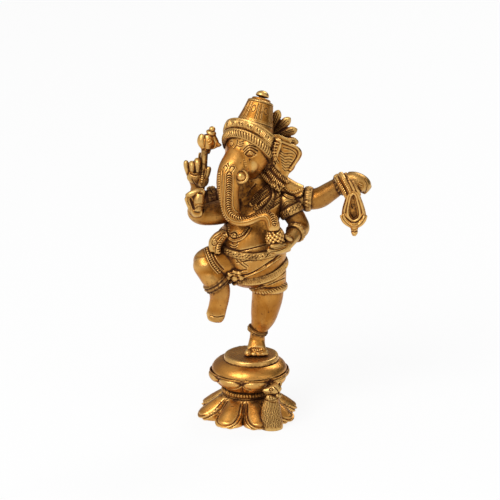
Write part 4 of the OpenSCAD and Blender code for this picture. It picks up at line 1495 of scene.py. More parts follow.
    @staticmethod
    def _belly_lines() -> list[Stroke]:
        """Lists the pendant, its collar and the lines about the navel.

        Returns:
            The lines.
        """
        whole = 2 * math.pi
        ring = [(233.8 + 3.3 * math.cos(a), 235.4 + 3.3 * math.sin(a)) for a in np.linspace(0, whole, 13)]
        core = [(232.4 + 1.2 * math.cos(a), 235.0 + 1.2 * math.sin(a)) for a in np.linspace(0, whole, 9)]
        collar = ((226, 227), (226.8, 235), (231.4, 240.6), (238.2, 240.6), (245, 236.6), (250.6, 228.4))
        return [
            ridge(1.6, 0.6, *collar),
            groove(1.2, 0.5, *[(x * 0.9 + 23.6, y * 0.86 + 31) for x, y in collar]),
            beads(1.5, 0.5, *[(x * 0.8 + 47.4, y * 0.72 + 63) for x, y in collar], pitch=1.3),
            pad(1, 0.6, *ring[:-1]),
            groove(1, 0.45, *ring),
            groove(0.8, 0.5, *core),
            pad(0.7, -0.5, (235, 235.6), (236.4, 234.8), (236.8, 236.6), (235.4, 237.2)),
            ridge(1.2, 0.4, (229.6, 243.6), (234, 245.4), (238.4, 243.4)),
            ridge(1, 0.4, (230.6, 246.4), (234, 247.8), (237.6, 246.2)),
            rope(2.2, 0.4, (224.6, 235), (220.6, 241.4), (219, 248.4), (220, 254), pitch=1.6),
            groove(1, 0.5, (220.6, 233.6), (214.6, 237.4), (211.8, 242.6), (213.8, 245.6), (217, 243.4),
                   (216.4, 240.2), (214.2, 241.2)),
            groove(1, 0.5, (222.6, 237), (218.4, 242.4), (215.4, 248), (214.8, 254)),
            groove(1.4, 0.7, (236, 251.6), (247.9, 249.4), (257, 247), (266.4, 244.4))]


class Side(Enum):
    """Sides of the figure, with the sign that they have across the head."""

    LEFT = 1
    RIGHT = -1


@dataclass
class Head:
    """The elephant head with its trunk, tusks, ears, crown and ribbed fan."""

    skull: Points = (
        (0, 3, -17, 8, 7), (0, 1.5, -12, 12.16, 11), (0, 0, -5, 14.88, 14), (0, 0, 3, 16, 15),
        (0, 0.5, 10, 15.2, 14.6), (0, 1.5, 16, 11.52, 11.5))
    trunk: Points = (
        (243.7, 152.9, -10.1, 16), (237.8, 161.5, -15.8, 15), (231.8, 172, -20.5, 14.2),
        (228.2, 184, -23.6, 11.8), (228.6, 195, -25.3, 10.3), (229.8, 204, -26.3, 9.6),
        (231.4, 212.4, -27.2, 8.7), (235.6, 218.4, -27.8, 7), (241.8, 221, -28.4, 5.5),
        (249.1, 220.3, -29.1, 5), (255.6, 217.6, -29.8, 4.8), (261.2, 215.5, -30.4, 5),
        (266.6, 215.7, -30.9, 5.7), (270.9, 219.2, -31.2, 6.4), (273.2, 224.6, -31.4, 6.8),
        (273.8, 230, -31.4, 6))
    ear: Points = (
        (9, 3, 4, 1.92, 8), (13.5, 6.5, 5, 1.76, 11.5), (18.5, 10.5, 2.5, 1.6, 13.5),
        (23.5, 14.5, 3.5, 1.44, 11), (27.4, 18, 7, 1.28, 7), (28.8, 19.6, 8.6, 0.96, 3.6))
    ear_flap: Points = (
        (268, 153.5), (269.5, 147), (272.5, 140.8), (275.6, 137.2), (279.5, 139.5), (279, 146),
        (276.5, 152), (275, 158), (271.5, 160.5))
    ear_edge: Points = (
        (270, 150.5), (272.4, 143), (275.4, 138.2), (282.8, 140.4), (289.7, 143.2), (297, 145.8),
        (301.2, 149.8), (302.2, 154.6), (299.4, 160), (296, 164.8), (293.6, 169.6), (289.2, 173.8),
        (287.2, 178.4), (284, 178.6), (278.6, 173.4), (272.6, 165.2), (269.4, 158.3))
    rib: Points = (
        (5, 1.1, 1), (10, 2.1, 1.5), (14, 2.9, 1.9), (16.6, 3.2, 1.9), (18.6, 2.5, 1.6), (20, 1.3, 1.1),
        (20.6, 0.4, 0.4))
    crown_foot: tuple[float, float, float] = (-1.0, 1.5, 13.0)
    crown_lean: float = math.radians(-25.7)
    crown_turn: float = math.radians(-35)
    face_lines: Sequence[Stroke] = (
        pad(1.6, 0.75, (246.2, 154), (248.6, 151.6), (251.4, 151.1), (255.2, 153.8), (251.4, 156.2),
            (248.2, 155.8)),
        groove(1, 0.5, (245.6, 154.2), (248.4, 151.2), (251.4, 150.6), (256.2, 153.9)),
        groove(0.9, 0.4, (245.8, 154.4), (248.4, 156.4), (251.6, 156.8), (255.8, 154.2)),
        ridge(1.2, 0.4, (244.6, 153), (247.8, 149.8), (251.8, 149), (257.6, 152.2)),
        groove(0.9, 0.35, (244.6, 151.6), (248, 148.2), (252.2, 147.4), (258, 150.6)),
        groove(1.1, 0.55, (243, 150), (246.6, 146.4), (250.8, 145.2), (256.2, 146.8)),
        pad(0.6, 0.3, (249.8, 153.2), (251.2, 152.4), (252.4, 153.6), (251, 154.8)),
        groove(3, 0.2, (243, 155.4), (244.5, 160.7), (245.4, 165.4), (248.4, 169)),
        beads(1.4, 0.2, (244, 158), (245.2, 162.4), (246.6, 166.4), pitch=1.5),
        groove(1, 0.4, (239, 142), (241.4, 141.8), (243.6, 140.8)),
        groove(1, 0.4, (238.6, 144), (241, 144.1), (243.4, 143.2)),
        groove(1, 0.4, (237, 145.6), (240, 146.6), (242.6, 145.7)),
        groove(1, 0.45, (237.3, 139.8), (236.5, 144.6), (233.6, 148.2)),
        groove(0.9, 0.4, (230.8, 141), (233.3, 143.4), (231.6, 146), (229.8, 145.2)),
        groove(0.9, 0.4, (229.8, 168.7), (231.8, 166.2), (234.9, 167.2), (233.4, 169.8),
               (231.6, 172)),
        ridge(0.9, 0.4, (229.2, 170.4), (230.4, 165.4), (234.6, 165.2), (235.8, 168.4)),
        groove(0.9, 0.4, (222.6, 168.4), (225, 165.2), (227.4, 167.8), (225.6, 171.2)),
        groove(0.8, 0.4, (226.6, 165.4), (228, 162.6), (228.6, 166.2)))
    trunk_lines: Sequence[Stroke] = (
        chevron(4, 0.42, (229.4, 174), (229.2, 186), (228.8, 197), (228.6, 206), (231, 213.4),
                (237.2, 217.2), (245, 216.8), (252.4, 214.4), (259, 212), (266.2, 210.8),
                (270.8, 213.6), (273.2, 218.4), (274.6, 224), pitch=1.55),
        ridge(1.2, 0.45, (225.8, 173.5), (225.2, 186), (224.6, 198), (224.4, 208), (227.4, 216.2),
              (234.8, 221.4), (245, 221.6), (254, 218.8), (261, 216.2), (265.4, 216.4),
              (268.6, 220.4), (269.6, 226)),
        ridge(1.1, 0.4, (233.2, 174), (233.2, 186), (232.8, 197), (232.8, 205), (235, 210.6),
              (240, 213), (246, 212.4), (253, 210.2), (260, 208), (268, 207.6), (274.4, 211.4),
              (277, 217), (277.4, 222)),
        beads(1.5, 0.45, (219, 172), (218.6, 184), (219.2, 196), (220.6, 206), (223.6, 214.6),
              (229.4, 221.6), pitch=1.6),
        groove(1, 0.35, (222.2, 171), (221.8, 184), (221.8, 196), (222.4, 206), (225.4, 214.4)))

    def build(self) -> list[Piece]:
        """Models the head and all that it carries.

        Returns:
            The nine pieces.
        """
        return [
            Piece(self._head(), ("head",), RUBBED),
            Piece(self._tusk(Side.LEFT), ("left_tusk",), POLISHED),
            Piece(self._tusk(Side.RIGHT), ("right_tusk",), POLISHED),
            Piece(self._ear(Side.LEFT), ("left_ear",), CAST),
            Piece(self._ear(Side.RIGHT), ("right_ear",), CAST),
            Piece(self._crown(), ("crown",), CAST),
            Piece(self._crown_band(), ("crown_band",), ORNAMENT),
            Piece(self._finial(), ("crown_finial",), POLISHED),
            Piece(self._halo(), ("halo",), SHADED)]

    def stations(self, rows: Points) -> Array:
        """Moves stations from the head's own axes to the object's.

        Args:
            rows: Stations that begin with x, y and z.
        Returns:
            The moved stations.
        """
        found = np.array(rows, float)
        found[:, :3] = found[:, :3] @ HEAD_TURN.T + HEAD
        return found

    def on_head(self, piece: Shape) -> Shape:
        """Moves a piece that was drawn on the head's own axes.

        Args:
            piece: The piece.
        Returns:
            The same piece.
        """
        move = Matrix.Translation(Vector(HEAD) * MM) @ Matrix(HEAD_TURN.tolist()).to_4x4()
        piece.data.transform(move)
        return piece

    def on_crown(self, piece: Shape) -> Shape:
        """Moves a piece that was drawn on the crown's own axes, which lean back from the face.

        Args:
            piece: The piece.
        Returns:
            The same piece.
        """
        foot = HEAD + HEAD_TURN @ self.crown_foot
        turn = Matrix.Rotation(self.crown_turn, 4, "Z") @ Matrix.Rotation(self.crown_lean, 4, "X")
        piece.data.transform(Matrix.Translation(Vector(foot) * MM) @ turn)
        return piece

    def _head(self) -> Shape:
        """Models the skull and trunk and carves the face.

        Returns:
            The head.
        """
        lumps = [
            limb(self.stations(self.skull), HEAD_TURN @ (0, -1, 0), 40),
            limb(self._trunk_stations(), (0.0, -1.0, 0.25), 36)]
        for spot, size in (((4.6, -8.2, 6.0), (7.6, 6.6, 8.0)), ((-3.8, -8.2, 6.0), (7.6, 6.6, 8.0)),
                           ((7.6, -6.6, -5.0), (6.6, 6.6, 7.8)), ((3.0, -12.0, -17.0), (5.6, 4.4, 6.0))):
            lumps.append(self.on_head(ball(spot, size)))
        return cast("head_casting", lumps, 0.42, 32, [*self.face_lines, *self.trunk_lines])

    def _trunk_stations(self) -> Array:
        """Turns the trunk's picture places and half widths into stations in millimetres."""
        half = np.array([row[3] for row in self.trunk]) * SIGHT.step
        return np.column_stack((SIGHT.place([row[:3] for row in self.trunk]), half, half * 0.94))

    def _tusk(self, side: Side) -> Shape:
        """Models one cut tusk in its thick ring.

        Args:
            side: The side that it is on.
        Returns:
            The tusk.
        """
        profile = [
            (0.3, 0), (4.2, 0), (5, 0.3), (5.2, 1.2), (5.1, 2.4), (4.7, 3.2), (4.1, 3.6), (3.5, 3.4),
            (3.1, 2.9)]
        turns = [math.radians(a) for a in range(5, 90, 9)]
        profile += [(3.0 * math.cos(a) + 0.05, 3.0 + 3.0 * math.sin(a)) for a in turns]
        piece = extruded(f"tusk_{side.name.lower()}_cap", turned(profile, 48))
        spot, turn = ((9.6, -16.4, -13), 28) if side is Side.LEFT else ((-3.4, -12.5, -12), -50)
        seat = Matrix.Rotation(math.radians(turn), 4, "Z") @ Matrix.Rotation(math.radians(70), 4, "X")
        piece.data.transform(Matrix.Translation(Vector(spot) * MM) @ seat)
        return self.on_head(piece)

    def _ear(self, side: Side) -> Shape:
        """Models one ear; the left one also gets its rolled rim and the folds inside it.

        Args:
            side: The side that it is on.
        Returns:
            The ear.
        """
        rows = np.array(self.ear, float)
        rows[:, 0] *= side.value
        lumps = [limb(self.stations(rows[:3] if side is Side.LEFT else rows), HEAD_TURN @ (0, 0, 1), 36)]
        if side is Side.LEFT:
            edge = [(x, y, -8.6 + 0.06 * (x - 268)) for x, y in self.ear_edge]
            lumps.append(slab(SIGHT.place(edge), 3.4, (0.1, -1, 0.1)))
            flap = SIGHT.place([(*spot, -15.5) for spot in self.ear_flap])
            lumps.append(slab(flap, 12.0, (0.3, -1, 0.1)))
        piece = fused(f"ear_{side.name.lower()}_casting", lumps, 0.36, 7)
        clay = Clay(piece)
        if side is Side.LEFT:
            clay.carve([
                ridge(2.6, 0.8, (275.6, 139.6), (285.4, 143), (296.4, 147.8), (299.4, 154), (294.4, 164),
                      (290.2, 170)),
                groove(1, 0.4, (283.4, 147.6), (291.4, 150), (296.6, 155.4), (292.8, 162.4),
                       (288.4, 168.4)),
                *self._ear_folds(),
                groove(1.3, 0.6, (273, 141.4), (271.6, 148), (272, 156), (275.6, 163.6)),
                ridge(1.4, 0.5, (275.6, 142.6), (274.4, 149), (275, 156), (278.4, 162.6)),
                rope(6, 0.5, (276.6, 139.6), (273.8, 146), (272.4, 152), (272.6, 158), pitch=2.3)])
        return clay.put_back()

    @staticmethod
    def _ear_folds() -> list[Stroke]:
        """Lists the fine folds that run across the inside of the ear.

        Returns:
            The lines.
        """
        found = []
        for k in range(7):
            x, y = 279.6 + 0.5 * k, 150.6 + 2.9 * k
            span = 14.0 - 1.1 * k
            path = ((x, y), (x + 0.35 * span, y + 2.8), (x + 0.7 * span, y + 2.6), (x + span, y + 3.6))
            found.append(groove(0.8, 0.32, *path))
        return found

    def _crown(self) -> Shape:
        """Models the tall crown with its belts of upright bars and rosettes.

        Returns:
            The crown.
        """
        rows = curve_through((
            (14.6, -6), (13.9, -1), (13.1, 3), (12.3, 6.4), (11.4, 9.4), (10.5, 12.4), (9.7, 15.6),
            (9.1, 18.4), (8.7, 20.4), (7.6, 21.2), (6.6, 21.4), (6.4, 22), (6.2, 22.6), (5.2, 23),
            (3.4, 23.2)), 6)
        profile = np.vstack(((0.3, -6), (8, -6), rows, (0.3, 23.2)))

        def worked(angle: Array, radius: Array, height: Array) -> Array:
            """Height of the engraved belts, bars and discs.

            Args:
                angle: Angle round the axis.
                radius: Distance from it in millimetres.
                height: Height in millimetres.
            Returns:
                Height above the plain surface in millimetres.
            """
            lines = sum(swell((height - z) / 0.32) for z in (5.4, 6.6, 19.4))
            plain = ramp(7.4, 8.0, height) * ramp(19.0, 18.4, height)
            step = np.mod(angle * 7 / (2 * math.pi), 1.0)
            bars = sum(swell((step - at) / 0.035) for at in (0.10, 0.20, 0.80, 0.90))
            disc = np.sqrt(((step - 0.5) / 0.18) ** 2 + ((height - 14.6) / 2.4) ** 2)
            return -0.32 * lines - plain * (0.30 * bars + 0.26 * swell((disc - 0.9) / 0.2))
        return self.on_crown(extruded("crown_cone", turned(profile, 320, worked)))

    def _crown_band(self) -> Shape:
        """Models the two worked bands that arch over the forehead.

        Returns:
            Both bands as one piece.
        """
        tiers = [
            self._arch((1, -2.4, -12.4), 16.6, 27.8, 2.3, 2.9, 1.8, self._slanted),
            self._arch((0.3, 0.2, -6.1), 17.8, 26.5, 2.7, 3.9, 6.2, self._panels)]
        lean = Matrix.Rotation(math.radians(-26.5), 3, "X")
        tiers.append(ball((0.3, 0.4, -5.4), (15.6, 15.2, 5.2), lean))
        return self.on_crown(joined("crown_bands", tiers))

    @staticmethod
    def _slanted(step: Array, tall: Array) -> Array:
        """Height of slanted strands, from the place across one strand and the place up the band."""
        return 0.3 * np.cos(2 * math.pi * step + 3.6 * tall)

    @staticmethod
    def _panels(step: Array, tall: Array) -> Array:
        """Height of framed panels.

        Args:
            step: Place across one panel.
            tall: Place up the band.
        Returns:
            Height above the plain surface in millimetres.
        """
        edge = swell((np.abs(step) - 0.44) / 0.06)
        box = np.maximum(np.abs(step) / 0.3, np.abs(tall) / 0.5)
        curl = np.cos(2.0 * np.arctan2(tall, step * 2) + box * 6.0)
        inside = np.where(box < 0.8, 0.22 * curl, 0.0)
        return 0.35 * edge + 0.32 * swell((box - 0.95) / 0.2) + inside - 0.15

    @staticmethod
    def _arch(
            middle: Sequence[float], radius: float, rise: float, thick: float, half_tall: float,
            pitch: float, motif: Relief) -> Shape:
        """Models one band that stands higher over the forehead than behind the ears.

        Args:
            middle: Middle of the band on the crown's axes.
            radius: Its radius.
            rise: Its tilt in degrees.
            thick: Half its thickness.
            half_tall: Half its height.
            pitch: Distance at which its pattern repeats.
            motif: Its pattern, from the place across one repeat and the place up the band.
        Returns:
            The band.
        """
        a = -np.arange(560) * 2 * math.pi / 560
        lean = math.radians(rise)
        high = np.where(np.sin(a) > 0, np.sin(a), 0.3 * np.sin(a))
        path = (radius * np.cos(a), -radius * np.sin(a) * math.cos(lean), radius * high * math.sin(lean))
        path = np.stack(path, axis=1) + middle
        total = np.linalg.norm(path - np.roll(path, 1, axis=0), axis=1).sum()

        def worked(along: Array, angle: Array) -> Array:
            """Height of the rails and of the pattern between them.

            Args:
                along: Length along the band.
                angle: Angle round its section.
            Returns:
                Height above the plain surface in millimetres.
            """
            outer = ramp(-0.1, 0.5, np.cos(angle))
            tall = np.sin(angle)
            step = np.mod(along * round(total / pitch) / total, 1.0) - 0.5
            rails = swell((np.abs(tall) - 0.86) / 0.12)
            return outer * (ramp(0.76, 0.66, np.abs(tall)) * motif(step, tall) + 0.45 * rails)
        rows = np.column_stack((path, np.full(560, thick), np.full(560, half_tall)))
        return extruded("tier", sections(rows, (0, -0.2, 1), 44, True, worked), True)

    def _finial(self) -> Shape:
        """Models the mushroom knob on the crown.

        Returns:
            The knob.
        """
        profile = np.vstack((
            (0.3, 23),
            curve_through((
                (2.6, 23), (2.3, 23.4), (2.3, 23.9), (3.3, 24), (4.3, 24.3), (4.5, 25), (4.2, 26.1),
                (3.3, 27.2), (1.8, 28), (0.3, 28.3)), 4)))
        return self.on_crown(extruded("crown_knob", turned(profile, 48)))

    def _halo(self) -> Shape:
        """Models the fan of rounded ribs behind the head.

        Returns:
            The fan.
        """
        turn = Matrix.Rotation(math.radians(-8), 3, "Z") @ Matrix.Rotation(math.radians(6), 3, "Y")
        middle = HEAD + (13.4, 15.1, 5)
        back = np.array(turn @ Vector((0, 1, 0)))
        hub = [(*(middle + back * depth), 15.2, 15.2) for depth in (-0.6, 0.9)]
        lumps = [extruded("hub", sections(np.array(hub), (0, 0, 1), 48))]
        lines = []
        for k in range(14):
            a = math.radians(-1.5 + 360 / 14 * k)
            way = np.array(turn @ Vector((math.cos(a), 0, math.sin(a))))
            aside = np.array(turn @ Vector((-math.sin(a), 0, math.cos(a))))
            rows = [(*(middle + way * r), w, t) for r, w, t in self.rib]
            lumps.append(limb(rows, (0, -1, 0.01), 16, 4))
            for shift in (-0.8, 0.8):
                path = [middle + way * r + aside * shift * r / 17 for r in (8, 11, 14, 17.5)]
                path = SIGHT.project(np.array(path))
                lines.append(groove(0.7, 0.35, *path))
        return cast("halo_ribs", lumps, 0.34, 2, lines)


def finger(spots: Points, radii: Sequence[float], sides: int = 16) -> Shape:
    """Models a finger or a strand that is set out on the picture.

    Args:
        spots: Rows of picture x, picture y and depth along Y in millimetres.
        radii: Radius at each of them in millimetres.
        sides: Points round it.
    Returns:
        The finger.
    """
    rows = np.column_stack((SIGHT.place(spots), radii, radii))
    return limb(rows, (0.15, -1, 0.3), sides, 5)


@dataclass
class Arms:
    """The four arms with their hands, armlets and bracelets."""

    rear_right: Points = (
        (-12, 3, 0, 5.8, 5.8), (-21, 3.5, -2, 6.38, 6.38), (-30, 3.5, -3.4, 6.38, 6.38),
        (-37.6, 2.5, -4.4, 5.8, 5.8), (-40, -0.5, 1.5, 4.93, 4.93), (-39.6, -3.5, 7, 4.83, 4.14),
        (-39.8, -5.5, 13.4, 6.44, 3.91), (-40, -6.3, 18, 6.9, 3.68), (-40, -6.3, 20.5, 5.52, 2.3))
    front_right: Points = (
        (-13, -5, -7, 7.54, 7.54), (-21, -8.5, -8.4, 8.24, 7.89), (-29, -13, -9, 7.89, 7.31),
        (-37, -15.5, -9, 6.96, 6.67), (-41, -18.5, -6, 5.68, 5.8), (-40, -21.5, -0.6, 4.1, 4.14),
        (-39.4, -23.5, 3.6, 4.6, 4), (-39.2, -24.6, 7.4, 4.4, 3.4), (-38.6, -25, 10.2, 3.2, 2.4))
    fold: Points = (
        (185.4, 195.4), (190, 193), (196, 190), (204.4, 189.2), (204.8, 194), (203.8, 202), (202.6, 210),
        (201.6, 216), (194.6, 217), (190.6, 213), (188.2, 206), (186.2, 200))
    rear_left: Points = (
        (10, 2.5, 1, 5.8, 5.8), (21, 2.5, 0, 6.67, 6.38), (34, 1.2, -3.2, 6.96, 6.67),
        (41.5, 0.4, -2.2, 7.1, 6.8), (48.7, -1.5, 2.8, 6.5, 6.3), (55.9, -3.5, 8.2, 5.75, 5.75),
        (62.5, -5.5, 10.8, 5.98, 5.98), (69.1, -7, 9.4, 5.52, 5.75), (74, -7.5, 5.4, 3.68, 4.14))
    front_left: Points = (
        (12, -2, -0.5, 5.8, 5.8), (19, -5, -2, 6.67, 6.38), (22.8, -7.5, -9, 6.96, 6.67),
        (26.6, -9.5, -15, 6.67, 6.38), (28.6, -12, -19.6, 6.38, 6.38), (25.6, -18.5, -20.6, 5.29, 5.29),
        (21.7, -25, -23, 5.06, 4.6), (17, -30.4, -25, 5.98, 3.91), (12, -34, -25.6, 5.98, 2.99),
        (8.6, -35.6, -23.4, 4.6, 2.3))

    def build(self) -> list[Piece]:
        """Models the arms and their rings.

        Returns:
            The nine pieces.
        """
        rings = (("rear_left_armlet", self.rear_left, 2, 3.0, Motif.BEADS),
                 ("rear_left_bracelet", self.rear_left, 5, 2.0, Motif.ROPE),
                 ("front_left_armlet", self.front_left, 2, 3.0, Motif.SCROLL),
                 ("front_left_bracelet", self.front_left, 5, 2.0, Motif.BEADS),
                 ("rear_right_armlet", self.rear_right, 2, 3.0, Motif.SCROLL))
        arms = [
            Piece(self._rear_right(), ("rear_right_arm",), TONED),
            Piece(self._front_right(), ("front_right_arm",), TONED),
            Piece(self._rear_left(), ("rear_left_arm",), TONED),
            Piece(self._front_left(), ("front_left_arm",), TONED)]
        return arms + [Piece(self._ring(node + "_band", *rest), (node,), ORNAMENT) for node, *rest in rings]

    def _ring(self, name: str, line: Points, station: int, half_wide: float, motif: Motif) -> Shape:
        """Models a ring on a limb.

        Args:
            name: Name of the ring.
            line: Stations of the limb.
            station: The station that it sits on.
            half_wide: Half its width.
            motif: Its pattern.
        Returns:
            The ring.
        """
        rows = from_anchor(CHEST, line)
        axis = unit(rows[station + 1, :3] - rows[station - 1, :3])
        radius = (rows[station, 3] + rows[station, 4]) / 2 + 0.35
        path = ring_path(rows[station, :3], axis, radius)
        return band(name, path, 1.3, half_wide, Pattern(motif, 2.2, 0.45), axis)

    def _rear_right(self) -> Shape:
        """Models the raised right arm whose first finger carries the axe.

        Returns:
            The arm.
        """
        lumps = [
            limb(from_anchor(CHEST, self.rear_right), sides=32),
            finger((
                (190.4, 176, -3.4), (187.2, 168, -3.8), (186.2, 163, -4),
                (185.8, 160.6, -4.2)), (2.3, 2.1, 1.9, 1.1)),
            ball(SIGHT.place(((196.6, 177, -5.4),))[0], (6.6, 3.6, 4.8)),
            ball(SIGHT.place(((202.6, 179.6, -6),))[0], (4.4, 3.4, 5.4)),
            finger((
                (193, 175, -4.5), (191.8, 165.6, -5.8), (191.8, 163.2, -7.6), (192.4, 166, -9.2),
                (193, 171.4, -9)), (2, 2, 1.9, 1.8, 1)),
            finger((
                (197.4, 176, -4.5), (197.2, 163.4, -5.8), (197.4, 160.6, -7.8), (197.8, 164.4, -9.8),
                (198, 172, -9.6)), (2.2, 2.2, 2.1, 2, 1.1)),
            finger(((200.2, 170, -1.5), (200.2, 158, -1.6), (200.2, 152.6, -1.8)), (1.6, 1.5, 1)),
            finger((
                (202.6, 178, -5), (203.6, 168, -6), (204.2, 158, -6),
                (205, 150, -5.6)), (2.5, 2.45, 2.4, 2.2)),
            finger((
                (204.6, 179, -6), (207.2, 173, -7.2), (208.8, 168.4, -7.8),
                (209.2, 166.6, -7.8)), (2.4, 2.2, 1.8, 1))]
        return cast("rear_right_arm_casting", lumps, 0.36, 3, [
            groove(1, 0.4, (201, 163), (201.4, 171), (200.6, 178)),
            groove(1, 0.4, (206, 164), (206.4, 171), (204.8, 178.5)),
            groove(0.9, 0.25, (203, 164), (204.6, 164.4)),
            beads(1.6, 0.4, (202, 170), (202.6, 176), (201.8, 183), pitch=1.5),
            groove(1.8, 0.4, (190.6, 173.4), (194.6, 175.2), (199.8, 174.4)),
            groove(1, 0.35, (192, 179), (195, 184), (198, 187))])

    def _front_right(self) -> Shape:
        """Models the lower right arm, bent up to a hand with curled fingers.

        Returns:
            The arm.
        """
        lumps = [
            limb(from_anchor(CHEST, self.front_right), sides=32),
            slab(SIGHT.place([(*spot, -22) for spot in self.fold]), 8, (0.1, -1, 0.2)),
            finger((
                (203.4, 190.8, -22.5), (197, 191.8, -24), (190.4, 194.2, -24.6),
                (186, 195.8, -24)), (2, 2.4, 2.1, 1.2)),
            finger((
                (186.4, 197.4, -24), (188.4, 203, -24.6), (191, 209, -23.6),
                (193.4, 214, -22)), (1.6, 1.7, 1.7, 1.5)),
            finger(((199.6, 194, -24), (198.6, 201, -25), (197.6, 209, -23.6)), (3.3, 3.8, 3.5))]
        return cast("front_right_arm_casting", lumps, 0.38, 4, [
            groove(2.2, 0.9, (190.6, 199.2), (192.2, 204), (193.8, 209)),
            groove(0.9, 0.4, (187.6, 201), (189.4, 205)),
            ridge(1.2, 0.4, (195.6, 206.4), (199, 204.8), (203, 205.2)),
            groove(1, 0.4, (195.4, 208.6), (199, 207), (203.4, 207.4))])

    def _rear_left(self) -> Shape:
        """Models the outstretched left arm and its fist.

        Returns:
            The arm.
        """
        lumps = [
            limb(from_anchor(CHEST, self.rear_left), (0, -1, 0.01), 32),
            finger((
                (284, 197, 0), (290, 198.6, 0), (296, 199.6, 0.2),
                (302, 200.2, 0.6)), (3.8, 5, 5.6, 5.6), 28),
            finger((
                (348, 178.4, -7.6), (355, 179.4, -9), (361.4, 182.8, -9.6), (365.6, 186.6, -9.6),
                (367.6, 189.4, -9.4)), (4.6, 5.2, 5.4, 4.6, 2.4), 28)]
        return cast("rear_left_arm_casting", lumps, 0.4, 5, [
            ridge(1, 0.35, (359.8, 183.6), (362, 184.6)),
            ridge(1, 0.35, (360, 186), (362.6, 186.8)),
            groove(1, 0.4, (365, 179.6), (367.4, 185), (365.6, 192)),
            *SHOULDER_LINES])

    def _front_left(self) -> Shape:
        """Models the lower left arm, bent forward to a cupped hand.

        Returns:
            The arm.
        """
        lumps = [
            limb(from_anchor(CHEST, self.front_left), (0, -0.6, 0.8), 32),
            finger((
                (288, 246.5, -25), (279, 248.8, -32), (271, 250.6, -36.5),
                (267.6, 249, -37.2)), (1.9, 1.9, 1.7, 1)),
            finger((
                (289, 249, -24), (281, 251.6, -31), (273.6, 253.2, -34.4),
                (270, 252.4, -35)), (1.8, 1.8, 1.6, 1)),
            finger((
                (288.6, 244, -26), (281.6, 244.8, -34), (275.4, 246.4, -38),
                (270.4, 245.6, -38.6)), (1.8, 1.8, 1.6, 1)),
            finger(((292, 242.5, -24), (288.6, 238.6, -29), (284.8, 236, -32.6)), (2.1, 1.9, 1.1))]
        return cast("front_left_arm_casting", lumps, 0.38, 4, [
            *SHOULDER_LINES,
            ridge(1.2, 0.5, (284, 209), (286.6, 204.6), (291, 203), (295.6, 205), (297.6, 209.4)),
            ridge(1.1, 0.45, (287.6, 209.6), (289.2, 206.8), (291.6, 206.2), (294, 208.4)),
            groove(0.9, 0.45, (282.4, 207.6), (285, 202.6), (291, 200.8), (297.4, 203.2), (299.6, 208)),
            groove(0.9, 0.35, (286, 247.6), (279, 250.4), (271, 252)),
            groove(0.9, 0.35, (286, 245.2), (279.6, 247), (272, 248.2))])


